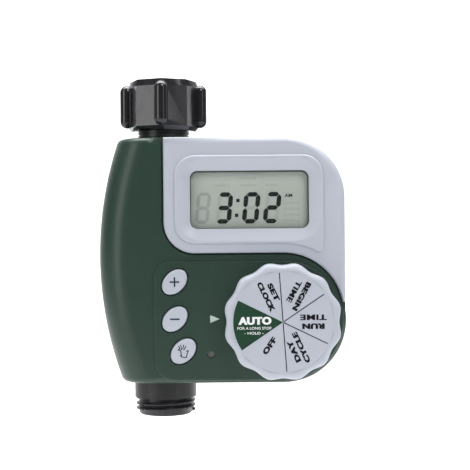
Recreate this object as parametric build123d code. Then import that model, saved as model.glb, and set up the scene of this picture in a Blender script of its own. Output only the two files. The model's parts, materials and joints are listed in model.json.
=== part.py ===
from build123d import *
import os
from math import asin, atan2, cos, degrees, radians, sin, sqrt

# A single-outlet drip irrigation timer that screws onto a garden tap and carries a hose below it.
# Millimetres. X runs to the right, Y to the back and Z up. The origin is the centre of the inlet
# nut's mouth, on the pipe axis. A depth called "front" or "f" is a distance forward of the pipe
# axis, so it is minus Y.

# ---------------------------------------------------------------- case
CASE_RIGHT = 81.0
CASE_TOP = -27.0
TOP_RIGHT_R = 27.0
DIAL_X = 52.7
DIAL_Z = -108.0
END_X = 53.6
END_R = 27.7
CASE_BOTTOM = DIAL_Z - END_R
BULGE_R = 160.0
BULGE_LEFT = -28.7
BULGE_Z = -79.4
SIDE_ROUND = 14.0
EDGE_ROUND = 3.0
FRONT_F = 22.0
BACK_Y = 22.0
WALL = 2.4
SEAM_FRONT_F = 4.0
SEAM_REAR_F = 3.8
FAR = 200.0
SEAL_IN = 0.8
SEAL_OUT = 1.8
SEAL_DEPTH = 0.8
CRADLES = (-86.0, -124.0)

# ---------------------------------------------------------------- display cover and bezel
COVER_F = 23.0
COVER_LEFT = 1.0
COVER_BOTTOM = -78.3
COVER_CORNER_R = 13.7
COVER_ARC_X = 53.4
COVER_ARC_R = 26.6
COVER_ARC_Z = COVER_BOTTOM - COVER_ARC_R
COVER_TIP_DEG = 10.0
COVER_GAP = 0.35
GROOVE_W = 0.5
GROOVE_DEEP = 1.5
COVER_LIP_F = 18.4
COVER_LIP_T = 1.8
LEDGE_F = 16.6
LEDGE_T = 1.6
LEDGE_W = 2.6
PAD_F = 24.1
PAD_LEFT = 5.9
PAD_RIGHT = 71.3
PAD_TOP = -35.3
PAD_RIM = COVER_BOTTOM + 4.2
PAD_R = 9.0
PAD_TAIL_R = 2.0
WINDOW_LEFT = 12.7
WINDOW_RIGHT = 65.1
WINDOW_TOP = -42.0
WINDOW_BOTTOM = -67.6
WINDOW_R = 3.3
FUNNEL_F = 21.4
FUNNEL_REACH = 5.2
WINDOW_BACK_F = 19.6
LENS_T = 1.2
LENS_MARGIN = 2.0

# ---------------------------------------------------------------- control pad, buttons, reset
PANEL_F = 22.7
PANEL_LEFT = -3.4
PANEL_R = 26.2
PANEL_TL_R = 6.7
PANEL_BL_R = 9.0
BUTTON_A = 6.4
BUTTON_B = 4.5
BUTTON_TURN = 45.0
BUTTON_GAP = 0.35
BUTTON_TOP_F = 23.5
BUTTON_FLANGE = 0.9
BUTTON_CENTRES = {
    "plus_button": (5.7, -90.8),
    "minus_button": (5.7, -107.1),
    "manual_button": (9.3, -121.2),
}
RESET_X = 21.4
RESET_Z = -123.0
RESET_R = 1.5
POINTER_TIP_X = 25.4
POINTER_LENGTH = 4.2
POINTER_HEIGHT = 3.4
POINTER_Z = -107.2
POINTER_T = 0.15

# ---------------------------------------------------------------- dial
DIAL_R = 25.0
DIAL_WAVE = 0.65
DIAL_LOBES = 12
DIAL_BACK_F = 23.1
DIAL_FRONT_F = 33.6
DIAL_EDGE_R = 3.0
DIAL_INNER_R = 21.1
DIAL_FLOOR_F = 30.4
LABEL_R = 21.9
LABEL_DEPTH = 0.3
LABEL_T = 0.25
SHAFT_R = 3.0
SHAFT_BACK_F = 12.2
SHAFT_FRONT_F = 29.5
ROTOR_R = 10.0
ROTOR_F = 16.3
ROTOR_T = 1.2
POSITIONS = 6

# ---------------------------------------------------------------- electronics
BOARD_F = 13.6
BOARD_T = 1.6
BOARD_LEFT = -6.0
BOARD_RIGHT = 68.5
BOARD_TOP = -36.0
BOARD_BOTTOM = -126.0
BOARD_FACE_F = BOARD_F + BOARD_T
LCD_LEFT = 9.0
LCD_RIGHT = 68.0
LCD_TOP = -39.2
LCD_BOTTOM = -71.0
BOARD_SCREWS = [(-3.0, -78.6), (26.0, -82.6), (30.0, -123.0)]

# ---------------------------------------------------------------- inlet nut and valve
NUT_R = 16.1
NUT_BOTTOM = -22.8
NUT_CHAMFER = 3.0
NUT_TAPER = 15.5
NUT_FOOT = 1.8
RIB_R = 19.9
RIB_ROUND = 3.1
RIB_TOP = -1.4
RIB_BOTTOM = -21.2
RIBS = 4
THREAD_PITCH = 2.209
NUT_MINOR_R = 12.3
NUT_MAJOR_R = 13.6
NUT_THREAD_END = -10.2
NUT_CAVITY_R = 13.0
NUT_LIP_Z = -18.2
NUT_LIP_R = 11.3
SPIGOT_R = 10.9
SPIGOT_TOP = -13.4
NECK_R = 11.7
NECK_TOP = -23.2
PIPE_R = 11.5
BORE_R = 7.5
COLLAR_R = 14.1
COLLAR_TOP = -133.0
COLLAR_BOTTOM = -143.8
OUTLET_R = 13.5
OUTLET_ROOT_R = 12.3
OUTLET_END = -151.6
OUTLET_BORE_R = 8.5
CHAMBER_Y = 3.0
CHAMBER_Z = -62.0
CHAMBER_R = 16.0
SEAT_X = 21.0
FLANGE_X = 23.0
BONNET_X = 28.0
DIAPHRAGM_R = 11.6
SEAT_R = 5.0
COIL_LEFT = 29.9
COIL_RIGHT = 49.3
COIL_R = 10.0
PLUNGER_R = 3.9

# ---------------------------------------------------------------- battery bay
TRAY_LEFT = 14.2
TRAY_RIGHT = 70.6
TRAY_TOP = -91.0
TRAY_BOTTOM = -123.0
TRAY_FRONT_Y = 3.0
TRAY_WALL = 1.4
TRAY_R = 4.0
TRAY_GAP = 0.3
LID_MARGIN = 1.8
LID_FRONT_Y = 20.2
BAY_WALL = 1.5
CELL_R = 7.1
CELL_LENGTH = 49.5
CELL_Y = 12.2
CELL_PITCH = 14.4
CELL_SHIFT = 1.65
TRAY_END = 8.0
BLADE_X = (20.0, 28.0)
BLADE_Z = -97.6

# ---------------------------------------------------------------- screws
CASE_SCREWS = [(-18.5, -44.0), (-18.5, -118.0), (30.0, -32.4), (73.2, -45.5), (74.8, -80.0)]
COVER_SCREWS = CASE_SCREWS[2:]
POST_R = 2.8
POST_HOLE_R = 1.1
BOSS_R = 4.4
BOSS_BORE_R = 3.1
BOSS_HOLE_R = 1.6
BOSS_FLOOR_Y = 8.0


def front_plane(f):
    """A plane at depth f, seen from the front: its own x is X and its own y is Z."""
    return Plane.XZ.offset(f)


def slab(sketch, f_back, f_front):
    """A flat sketch in X and Z, made solid from one depth to another."""
    return extrude(front_plane(f_back) * sketch, amount=f_front - f_back, dir=(0, -1, 0))


def disc(x, z, r, f_back, f_front):
    """A round pin or hole that runs front to back."""
    return slab(Pos(x, z) * Circle(r), f_back, f_front)


def ring(x, z, r_out, r_in, f_back, f_front):
    """A washer-like ring that runs front to back."""
    return disc(x, z, r_out, f_back, f_front) - disc(x, z, r_in, f_back - 1, f_front + 1)


def block(x0, x1, z0, z1, f_back, f_front):
    """A plain box between two corners."""
    wide, tall = x1 - x0, z1 - z0
    return slab(Pos((x0 + x1) / 2, (z0 + z1) / 2) * Rectangle(wide, tall), f_back, f_front)


def rounded(x0, x1, z0, z1, r, f_back, f_front):
    """A box with rounded upright corners, seen from the front."""
    centre = Pos((x0 + x1) / 2, (z0 + z1) / 2)
    return slab(centre * RectangleRounded(x1 - x0, z1 - z0, r), f_back, f_front)


def upright(r, z_low, z_high, x=0.0, y=0.0):
    """A cylinder along Z."""
    return Pos(x, y, (z_low + z_high) / 2) * Cylinder(r, z_high - z_low)


def across(r, x_low, x_high, y=CHAMBER_Y, z=CHAMBER_Z):
    """A cylinder along X, on the valve's own axis unless told otherwise."""
    return Pos((x_low + x_high) / 2, y, z) * Rot(0, 90, 0) * Cylinder(r, x_high - x_low)


def arc_point(x, z, r, angle):
    """A point on a circle in X and Z."""
    return (x + r * cos(radians(angle)), z + r * sin(radians(angle)))


def sharp_edges(solid):
    """The edges where two faces meet at more than a slight angle."""
    faces = solid.faces()
    found = []
    for edge in solid.edges():
        touching = [f for f in faces if any(edge.is_same(e) for e in f.edges())]
        if len(touching) != 2:
            continue
        middle = edge @ 0.5
        normals = [f.normal_at(middle) for f in touching]
        if normals[0].get_angle(normals[1]) > 12:
            found.append(edge)
    return found


# ================================================================ case outlines


def case_outline(inset):
    """The case seen from the front. Its left side runs on past the bulged side, which cuts it."""
    right = CASE_RIGHT - inset
    top = CASE_TOP - inset
    top_r = TOP_RIGHT_R - inset
    end_r = END_R - inset
    bottom = DIAL_Z - end_r
    far_left = BULGE_LEFT - 20
    meet = DIAL_Z + sqrt(end_r**2 - (right - END_X) ** 2)
    corner = (CASE_RIGHT - TOP_RIGHT_R, CASE_TOP - TOP_RIGHT_R)
    lines = [
        Line((far_left, top), arc_point(*corner, top_r, 90)),
        ThreePointArc(*[arc_point(*corner, top_r, a) for a in (90, 45, 0)]),
        Line(arc_point(*corner, top_r, 0), (right, meet)),
        ThreePointArc(
            (right, meet), arc_point(END_X, DIAL_Z, end_r, -40), (END_X, bottom)
        ),
        Line((END_X, bottom), (far_left, bottom)),
        Line((far_left, bottom), (far_left, top)),
    ]
    return make_face(Curve() + lines)


def bulge(inset, f_back, f_front, side_round):
    """A wide disc whose rim is the case's bowed left side, with its large front and back rounds."""
    left = BULGE_LEFT + inset
    axis_x = BULGE_LEFT + BULGE_R
    low, high = -f_front, -f_back
    profile = Pos((left + axis_x) / 2, (low + high) / 2) * Rectangle(axis_x - left, high - low)
    corners = profile.vertices().sort_by(Axis.X)[:2]
    profile = fillet(corners, side_round)
    return Pos(0, 0, BULGE_Z) * revolve(profile, Axis((axis_x, 0, 0), (0, 1, 0)))


def case_block(inset, f_back, f_front, edge_round=0.0):
    """The whole case as one block, inset evenly from its outside."""
    solid = slab(case_outline(inset), f_back, f_front)
    solid = (solid & bulge(inset, f_back, f_front, SIDE_ROUND - inset)).solid()
    if edge_round:
        solid = fillet(sharp_edges(solid), edge_round).solid()
    return solid


def cover_region(grow):
    """The display cover's share of the front, seen from the front. It runs past the case's edges."""
    left = COVER_LEFT - grow
    bottom = COVER_BOTTOM - grow
    corner = (COVER_LEFT + COVER_CORNER_R, COVER_BOTTOM + COVER_CORNER_R)
    corner_r = COVER_CORNER_R + grow
    arc = (COVER_ARC_X, COVER_ARC_Z)
    arc_r = COVER_ARC_R - grow
    tip = arc_point(*arc, arc_r, COVER_TIP_DEG)
    middle = (90 + COVER_TIP_DEG) / 2
    lines = [
        Line((left, 0), arc_point(*corner, corner_r, 180)),
        ThreePointArc(*[arc_point(*corner, corner_r, a) for a in (180, 225, 270)]),
        Line(arc_point(*corner, corner_r, 270), (COVER_ARC_X, bottom)),
        ThreePointArc((COVER_ARC_X, bottom), arc_point(*arc, arc_r, middle), tip),
        Line(tip, (FAR, tip[1])),
        Line((FAR, tip[1]), (FAR, 0)),
        Line((FAR, 0), (left, 0)),
    ]
    return make_face(Curve() + lines)


def bezel_pad():
    """The raised pad around the window. Its lower right corner runs out into a tail."""
    arc_r = COVER_ARC_R + PAD_RIM - COVER_BOTTOM
    tail_z = COVER_ARC_Z + sqrt(arc_r**2 - (PAD_RIGHT - COVER_ARC_X) ** 2)
    angle = degrees(asin((tail_z - COVER_ARC_Z) / arc_r))
    top_left = (PAD_LEFT + PAD_R, PAD_TOP - PAD_R)
    top_right = (PAD_RIGHT - PAD_R, PAD_TOP - PAD_R)
    low_left = (PAD_LEFT + PAD_R, PAD_RIM + PAD_R)
    lines = [
        ThreePointArc(*[arc_point(*top_left, PAD_R, a) for a in (180, 135, 90)]),
        Line(arc_point(*top_left, PAD_R, 90), arc_point(*top_right, PAD_R, 90)),
        ThreePointArc(*[arc_point(*top_right, PAD_R, a) for a in (90, 45, 0)]),
        Line(arc_point(*top_right, PAD_R, 0), (PAD_RIGHT, tail_z)),
        ThreePointArc(
            (PAD_RIGHT, tail_z),
            arc_point(COVER_ARC_X, COVER_ARC_Z, arc_r, (90 + angle) / 2),
            (COVER_ARC_X, PAD_RIM),
        ),
        Line((COVER_ARC_X, PAD_RIM), arc_point(*low_left, PAD_R, 270)),
        ThreePointArc(*[arc_point(*low_left, PAD_R, a) for a in (270, 225, 180)]),
        Line(arc_point(*low_left, PAD_R, 180), arc_point(*top_left, PAD_R, 180)),
    ]
    face = make_face(Curve() + lines)
    tail = face.vertices().sort_by_distance((PAD_RIGHT, tail_z, 0))[0]
    return fillet(tail, PAD_TAIL_R)


def panel_pad():
    """The control pad: square with rounded corners on the left, a half circle round the dial."""
    top, bottom = DIAL_Z + PANEL_R, DIAL_Z - PANEL_R
    high = (PANEL_LEFT + PANEL_TL_R, top - PANEL_TL_R)
    low = (PANEL_LEFT + PANEL_BL_R, bottom + PANEL_BL_R)
    lines = [
        ThreePointArc(*[arc_point(*high, PANEL_TL_R, a) for a in (180, 135, 90)]),
        Line(arc_point(*high, PANEL_TL_R, 90), (END_X, top)),
        ThreePointArc((END_X, top), (END_X + PANEL_R, DIAL_Z), (END_X, bottom)),
        Line((END_X, bottom), arc_point(*low, PANEL_BL_R, 270)),
        ThreePointArc(*[arc_point(*low, PANEL_BL_R, a) for a in (270, 225, 180)]),
        Line(arc_point(*low, PANEL_BL_R, 180), arc_point(*high, PANEL_TL_R, 180)),
    ]
    return make_face(Curve() + lines)


def window(grow=0.0):
    """The display window's outline."""
    centre = Pos((WINDOW_LEFT + WINDOW_RIGHT) / 2, (WINDOW_TOP + WINDOW_BOTTOM) / 2)
    wide = WINDOW_RIGHT - WINDOW_LEFT + 2 * grow
    tall = WINDOW_TOP - WINDOW_BOTTOM + 2 * grow
    return centre * RectangleRounded(wide, tall, WINDOW_R + grow)


def button_face(centre, grow=0.0):
    """A button's slanted oval."""
    oval = Rot(0, 0, BUTTON_TURN) * Ellipse(BUTTON_A + grow, BUTTON_B + grow)
    return Pos(*centre) * oval


def front_block(front_f):
    """The front half of the case block, out to a given front face."""
    return case_block(0, -BACK_Y, front_f, EDGE_ROUND) & block(
        -FAR, FAR, -FAR, FAR, SEAM_FRONT_F, front_f + 1
    )


def screw_posts(places, f_front):
    """Posts with pilot holes that the case screws bite into."""
    inside = case_block(WALL - 0.8, -BACK_Y + WALL, f_front)
    posts = [disc(x, z, POST_R, SEAM_FRONT_F, f_front) & inside for x, z in places]
    holes = [disc(x, z, POST_HOLE_R, SEAM_FRONT_F - 1, 14.5) for x, z in places]
    return posts, holes


# ================================================================ housings


def rear_shell():
    """The back half: a deep tub with screw bosses and the battery bay."""
    outer = case_block(0, -BACK_Y, FRONT_F, EDGE_ROUND)
    keep = block(-FAR, FAR, -FAR, FAR, -BACK_Y - 1, SEAM_REAR_F)
    hollow = case_block(WALL, -BACK_Y + WALL, FRONT_F)
    for x, z in CASE_SCREWS:
        hollow -= disc(x, z, BOSS_R, -BACK_Y, SEAM_REAR_F)
    bay_front = -TRAY_FRONT_Y + TRAY_GAP + BAY_WALL
    hollow -= tray_outline(TRAY_GAP + BAY_WALL, -BACK_Y, bay_front)
    hollow -= tray_outline(LID_MARGIN + 2.5, -BACK_Y, -16.8)
    for z in CRADLES:
        hollow -= block(-14, 14, z - 1, z + 1, -BACK_Y, -2)
    shell = (outer & keep) - hollow - upright(PIPE_R + 0.3, COLLAR_TOP, CASE_TOP - 3)
    shell -= tray_outline(TRAY_GAP, -BACK_Y - 1, -TRAY_FRONT_Y + TRAY_GAP)
    shell -= lid_outline(TRAY_GAP, -BACK_Y - 1, -19.3)
    for x0, x1 in ((TRAY_LEFT - 9.0, TRAY_LEFT), (TRAY_RIGHT, TRAY_RIGHT + 9.0)):
        shell -= rounded(x0, x1, -115.0, -99.0, 2.0, -BACK_Y - 1, -20.4)
    for x, z in CASE_SCREWS:
        shell -= disc(x, z, BOSS_BORE_R, -BACK_Y - 1, -BOSS_FLOOR_Y)
        shell -= disc(x, z, BOSS_HOLE_R, -BACK_Y, SEAM_FRONT_F)
    for x in BLADE_X:
        shell -= block(x - 2.2, x + 2.2, BLADE_Z - 1.2, BLADE_Z + 1.2, -4, 0)
    shell -= shell_seal(0.0)
    shell -= upright(NECK_R + 0.3, CASE_TOP - 6, CASE_TOP + 6)
    shell -= upright(COLLAR_R + 0.3, CASE_BOTTOM - 6, CASE_BOTTOM + 6)
    return (shell - rounded(6.0, 66.0, -84.0, -52.0, 3.0, -BACK_Y - 1, -BACK_Y + 0.4)).solid()


def tray_outline(grow, f_back, f_front):
    """The battery tray's box, seen from the front."""
    return rounded(
        TRAY_LEFT - grow,
        TRAY_RIGHT + grow,
        TRAY_BOTTOM - grow,
        TRAY_TOP + grow,
        TRAY_R + grow,
        f_back,
        f_front,
    )


def shell_seal(slack):
    """The rubber cord that sits in a groove round the parting face. It stops at the pipe."""
    f_back = SEAM_REAR_F - SEAL_DEPTH + slack
    outer = case_block(SEAL_IN + slack, -BACK_Y + SEAL_IN, FRONT_F)
    inner = case_block(SEAL_OUT - slack, -BACK_Y + SEAL_OUT, FRONT_F)
    cut = block(-FAR, FAR, -FAR, FAR, f_back, SEAM_FRONT_F)
    seal = (outer - inner) & cut
    seal -= upright(NECK_R + 0.5, CASE_TOP - 6, CASE_TOP + 6)
    return seal - upright(COLLAR_R + 0.5, CASE_BOTTOM - 6, CASE_BOTTOM + 6)


def front_shell():
    """The green front: the left side, the control pad and the round end that carries the dial."""
    region_gap = slab(cover_region(COVER_GAP), 0, FAR)
    cavity = case_block(WALL, -BACK_Y + WALL, FRONT_F - WALL)
    shell = front_block(FRONT_F) - cavity - region_gap
    pad = slab(panel_pad(), FRONT_F - 1, PANEL_F)
    rim = pad.edges().filter_by_position(Axis.Y, -PANEL_F - 0.01, -PANEL_F + 0.01)
    shell += fillet(rim, 0.5)
    inside = case_block(WALL - 0.5, -BACK_Y + WALL, FRONT_F - 1)
    skirt = slab(cover_region(COVER_GAP + LEDGE_T), LEDGE_F, FRONT_F - 1) - region_gap
    shell += skirt & inside
    band = slab(cover_region(COVER_GAP + 0.5) - cover_region(-LEDGE_W), LEDGE_F, LEDGE_F + LEDGE_T)
    shell += band & case_block(WALL + 0.3, -BACK_Y + WALL, FRONT_F - 1)
    shell += ring(DIAL_X, DIAL_Z, 8.0, SHAFT_R, 17.9, FRONT_F - 1)
    posts, holes = screw_posts(CASE_SCREWS[:2], FRONT_F - 1)
    for post in posts:
        shell += post
    for hole in holes:
        shell -= hole
    for x, z in BOARD_SCREWS:
        shell += disc(x, z, 2.6, BOARD_FACE_F, FRONT_F - 1)
        shell -= disc(x, z, 1.25, BOARD_FACE_F - 1, 19.0)
    for side in (-1, 1):
        z = DIAL_Z + side * 6.5
        shell += block(DIAL_X - 13.4, DIAL_X - 12.2, z - 1, z + 1, 16.6, FRONT_F - 1)
    shell -= disc(DIAL_X, DIAL_Z, SHAFT_R + 0.3, 15, FAR)
    shell -= disc(DIAL_X, DIAL_Z, SHAFT_R + 1.9, 15, 19.6)
    for centre in BUTTON_CENTRES.values():
        shell -= slab(button_face(centre, BUTTON_GAP), 15, FAR)
        dish = extrude(
            front_plane(PANEL_F - 0.5) * button_face(centre, BUTTON_GAP),
            amount=0.7,
            dir=(0, -1, 0),
            taper=-40,
        )
        shell -= dish
    shell -= disc(RESET_X, RESET_Z, RESET_R, 15, FAR)
    shell -= slab(pointer_face(0.02), PANEL_F - POINTER_T, FAR)
    edge = cover_region(COVER_GAP + GROOVE_W) - cover_region(0)
    shell -= slab(edge, FRONT_F - GROOVE_DEEP, FAR)
    shell -= upright(NECK_R + 0.3, CASE_TOP - 6, CASE_TOP + 6)
    shell -= upright(COLLAR_R + 0.3, CASE_BOTTOM - 6, CASE_BOTTOM + 6)
    return shell.solid()


def pointer_face(grow=0.0):
    """The small arrow that points at the dial."""
    half = POINTER_HEIGHT / 2 + grow
    left = POINTER_TIP_X - POINTER_LENGTH - grow
    points = [(left, POINTER_Z + half), (left, POINTER_Z - half), (POINTER_TIP_X + grow, POINTER_Z)]
    return make_face(Polyline(*points, close=True))


def display_cover():
    """The grey cover: front plate, top and right walls, the raised bezel and its window."""
    region = slab(cover_region(0), 0, FAR)
    hollow = slab(cover_region(-COVER_LIP_T), 0, FAR)
    shell = front_block(COVER_F) & region
    cavity = case_block(WALL, -BACK_Y + WALL, COVER_F - WALL) & hollow
    shell = shell - cavity
    lips = slab(cover_region(0) - cover_region(-COVER_LIP_T), 0, COVER_LIP_F)
    shell -= lips & case_block(WALL, -BACK_Y + WALL, COVER_F - WALL)
    pad = slab(bezel_pad(), COVER_F - 1, PAD_F)
    rim = pad.edges().filter_by_position(Axis.Y, -PAD_F - 0.01, -PAD_F + 0.01)
    shell += fillet(rim, 0.75)
    shell += slab(window(3.0), WINDOW_BACK_F, COVER_F - 1)
    posts, holes = screw_posts(COVER_SCREWS, COVER_F - 1)
    for post in posts:
        shell += post
    for hole in holes:
        shell -= hole
    depth = PAD_F - FUNNEL_F
    slope = degrees(atan2(FUNNEL_REACH, depth))
    shell -= extrude(
        front_plane(FUNNEL_F) * window(), amount=depth + 0.2, dir=(0, -1, 0), taper=-slope
    )
    shell -= slab(window(), WINDOW_BACK_F - 1, FUNNEL_F + 0.1)
    shell -= slab(cover_region(0.1) - cover_region(-GROOVE_W), COVER_F - GROOVE_DEEP, FAR)
    shell -= upright(NECK_R + 0.3, CASE_TOP - 6, CASE_TOP + 6)
    return shell.solid()


def case_screw(x, z):
    """A pan-head screw that runs forward from its boss in the back."""
    head = disc(x, z, 2.7, -BOSS_FLOOR_Y - 1.8, -BOSS_FLOOR_Y)
    head = fillet(head.edges().sort_by(Axis.Y)[-1], 0.8)
    cross = block(x - 1.6, x + 1.6, z - 0.3, z + 0.3, -BOSS_FLOOR_Y - 3, -BOSS_FLOOR_Y - 0.9)
    cross += block(x - 0.3, x + 0.3, z - 1.6, z + 1.6, -BOSS_FLOOR_Y - 3, -BOSS_FLOOR_Y - 0.9)
    return head + disc(x, z, POST_HOLE_R - 0.03, -BOSS_FLOOR_Y - 0.2, 12.5) - cross


# ================================================================ display and board


def lcd_lens():
    """The clear window plate, glued behind the cover."""
    return slab(window(LENS_MARGIN), WINDOW_BACK_F - 0.05 - LENS_T, WINDOW_BACK_F - 0.05)


def lcd_panel():
    """The display glass: two plates, the lower one longer for its contacts."""
    f = BOARD_FACE_F + 1.35
    low = block(LCD_LEFT, LCD_RIGHT, LCD_BOTTOM, LCD_TOP, f, f + 0.7)
    return low + block(LCD_LEFT, LCD_RIGHT, LCD_BOTTOM + 3.2, LCD_TOP, f + 0.7, f + 1.4)


def lcd_frame():
    """The plastic frame that holds the display glass square on the board."""
    outer = block(LCD_LEFT - 1.6, LCD_RIGHT + 0.3, LCD_BOTTOM - 1.6, LCD_TOP + 1.6, BOARD_FACE_F, 18.2)
    inner = block(LCD_LEFT - 0.1, LCD_RIGHT + 0.1, LCD_BOTTOM - 0.1, LCD_TOP + 0.1, 14, 20)
    return outer - inner


def zebra_strip():
    """The soft striped strip that joins the glass to the board."""
    f = BOARD_FACE_F
    return block(LCD_LEFT + 2, LCD_RIGHT - 2, LCD_BOTTOM + 0.5, LCD_BOTTOM + 2.5, f, f + 1.35)


def main_board():
    """The circuit board, with holes for the dial's shaft and its own two screws."""
    board = rounded(BOARD_LEFT, BOARD_RIGHT, BOARD_BOTTOM, BOARD_TOP, 3.0, BOARD_F, BOARD_FACE_F)
    board -= disc(DIAL_X, DIAL_Z, SHAFT_R + 0.4, 0, 30)
    for x, z in BOARD_SCREWS:
        board -= disc(x, z, 1.3, 0, 30)
    return board


def board_screws():
    """Screws that hold the board from behind, one solid each."""
    screws = []
    for x, z in BOARD_SCREWS:
        screws.append(disc(x, z, 2.2, BOARD_F - 1.2, BOARD_F) + disc(x, z, 1.2, BOARD_F, 18.5))
    return Compound(children=screws)


def board_chips():
    """The timer chip, its crystal and two capacitors, on the board's back."""
    f = BOARD_F
    chip = block(26, 38, -104, -92, f - 2.0, f)
    crystal = rounded(41, 47, -96, -93.6, 1.1, f - 2.2, f)
    capacitors = [disc(x, -98.5, 2.5, f - 7.0, f) for x in (20.0, 63.0)]
    return Compound(children=[chip, crystal, *capacitors])


def board_sockets():
    """The two small plugs' sockets on the board's back, for the coil and the battery leads."""
    f = BOARD_F
    coil = block(56.0, 63.0, -87.0, -82.0, f - 5.5, f)
    power = block(34.0, 41.0, -87.0, -82.0, f - 5.5, f)
    return Compound(children=[coil, power])


# ================================================================ buttons


def push_button(centre):
    """A domed oval cap with a retaining flange and a short stem."""
    cap = slab(button_face(centre), 18.6, BUTTON_TOP_F)
    rim = cap.edges().filter_by_position(Axis.Y, -BUTTON_TOP_F - 0.01, -BUTTON_TOP_F + 0.01)
    cap = fillet(rim, 0.8)
    cap += slab(button_face(centre, BUTTON_FLANGE), 18.2, 19.3)
    return cap + disc(*centre, 1.6, 17.0, 18.4)


def switch_dome(x, z, r=2.8):
    """A silicone dome with a tactile switch's height."""
    dome = disc(x, z, r, BOARD_FACE_F, 16.95)
    return fillet(dome.edges().sort_by(Axis.Y)[0], 0.9)


def reset_pin():
    """The recessed reset pin, pressed with a wire."""
    return disc(RESET_X, RESET_Z, 1.3, 17.0, 20.8) + disc(RESET_X, RESET_Z, 2.4, 18.2, 19.0)


# ================================================================ dial


def dial_profile():
    """The dial's wavy rim."""
    steps = DIAL_LOBES * 4
    points = []
    for i in range(steps):
        a = 360 * i / steps
        r = DIAL_R - DIAL_WAVE * cos(radians(DIAL_LOBES * a))
        points.append(arc_point(DIAL_X, DIAL_Z, r, a))
    return make_face(Spline(*points, periodic=True))


def dial_knob():
    """The dial: a wavy cup with a round front edge and a socket for the shaft."""
    knob = slab(dial_profile(), DIAL_BACK_F, DIAL_FRONT_F)
    front = knob.edges().filter_by_position(Axis.Y, -DIAL_FRONT_F - 0.01, -DIAL_FRONT_F + 0.01)
    knob = fillet(front, DIAL_EDGE_R)
    knob -= disc(DIAL_X, DIAL_Z, DIAL_INNER_R, 0, DIAL_FLOOR_F)
    knob += disc(DIAL_X, DIAL_Z, 6.0, DIAL_BACK_F + 0.3, DIAL_FLOOR_F + 0.5)
    for i in range(POSITIONS):
        reach = DIAL_X + DIAL_INNER_R + 0.5
        rib = block(DIAL_X + 5, reach, DIAL_Z - 0.7, DIAL_Z + 0.7, 26.5, DIAL_FLOOR_F + 0.5)
        knob += rib.rotate(Axis((DIAL_X, 0, DIAL_Z), (0, 1, 0)), 360 * i / POSITIONS + 30)
    knob -= shaft_bar(0.02, 0, SHAFT_FRONT_F + 0.1)
    knob -= disc(DIAL_X, DIAL_Z, LABEL_R + 0.03, DIAL_FRONT_F - LABEL_DEPTH, DIAL_FRONT_F + 1)
    return knob.solid()


def shaft_bar(slack, f_back, f_front):
    """A round bar with a flat on one side."""
    bar = disc(DIAL_X, DIAL_Z, SHAFT_R + slack, f_back, f_front)
    return bar - block(DIAL_X + 2.3 + slack, DIAL_X + 9, DIAL_Z - 9, DIAL_Z + 9, 23.5, f_front + 1)


def dial_shaft():
    """The dial's shaft, with the groove for its clip."""
    bar = shaft_bar(0.0, SHAFT_BACK_F, SHAFT_FRONT_F)
    return bar - ring(DIAL_X, DIAL_Z, SHAFT_R + 1, 2.3, 12.6, 13.2)


def dial_clip():
    """The open clip that keeps the shaft from pulling out."""
    clip = ring(DIAL_X, DIAL_Z, 4.8, 2.35, 12.65, 13.15)
    return clip - block(DIAL_X - 1.6, DIAL_X + 1.6, DIAL_Z - 9, DIAL_Z, 12, 14)


def dial_seal():
    """The rubber ring that keeps water out along the shaft."""
    return ring(DIAL_X, DIAL_Z, SHAFT_R + 1.85, SHAFT_R + 0.02, 18.1, 19.4)


def dial_rotor():
    """The switch rotor, notched once for each place that the dial clicks into."""
    rotor = ring(DIAL_X, DIAL_Z, ROTOR_R, SHAFT_R, ROTOR_F, ROTOR_F + ROTOR_T)
    for i in range(DIAL_LOBES):
        rotor -= disc(*arc_point(DIAL_X, DIAL_Z, ROTOR_R + 0.5, 30 * i), 1.3, ROTOR_F - 1, 19)
    return rotor


def wiper_contact():
    """The brass wiper under the rotor: a ring with three fingers."""
    plate = ring(DIAL_X, DIAL_Z, 5.4, SHAFT_R + 0.4, 15.95, ROTOR_F)
    for i in range(3):
        finger = block(DIAL_X + 4.5, DIAL_X + 8.6, DIAL_Z - 0.6, DIAL_Z + 0.6, 15.95, ROTOR_F)
        finger += block(DIAL_X + 7.8, DIAL_X + 8.6, DIAL_Z - 0.6, DIAL_Z + 0.6, 15.42, ROTOR_F)
        plate += finger.rotate(Axis((DIAL_X, 0, DIAL_Z), (0, 1, 0)), 120 * i)
    return plate


def contact_pads():
    """The gilt ring and pads on the board that the wiper runs over."""
    pads = [ring(DIAL_X, DIAL_Z, 6.2, 4.2, BOARD_FACE_F, BOARD_FACE_F + 0.1)]
    for i in range(POSITIONS):
        x, z = arc_point(DIAL_X, DIAL_Z, 8.2, 60 * i)
        pads.append(disc(x, z, 1.3, BOARD_FACE_F, BOARD_FACE_F + 0.1))
    return Compound(children=pads)


def detent_spring():
    """The bent steel leaf that clicks into the rotor's notches."""
    nose = disc(*arc_point(DIAL_X, DIAL_Z, ROTOR_R + 0.5, 180), 1.1, 16.6, 17.3)
    arm = block(DIAL_X - 12.2, DIAL_X - 11.6, DIAL_Z - 7, DIAL_Z + 7, 16.6, 17.3)
    bridge = block(DIAL_X - 12.2, DIAL_X - 10.9, DIAL_Z - 0.7, DIAL_Z + 0.7, 16.6, 17.3)
    return nose + bridge + arm


# ================================================================ inlet and valve


def thread_groove(r_mouth, r_root, z_start, turns):
    """A V-shaped groove along a helix, wider at the mouth. It is cut from a round wall."""
    half_mouth, half_root = THREAD_PITCH * 0.40, THREAD_PITCH * 0.09
    points = [
        (r_mouth - 0.4, -half_mouth),
        (r_root, -half_root),
        (r_root, half_root),
        (r_mouth - 0.4, half_mouth),
    ]
    section = make_face(Polyline(*points, close=True))
    path = Helix(THREAD_PITCH, THREAD_PITCH * turns, r_mouth)
    cut = sweep(Plane.XZ * section, path=path, is_frenet=True)
    return Pos(0, 0, z_start) * cut


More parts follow.
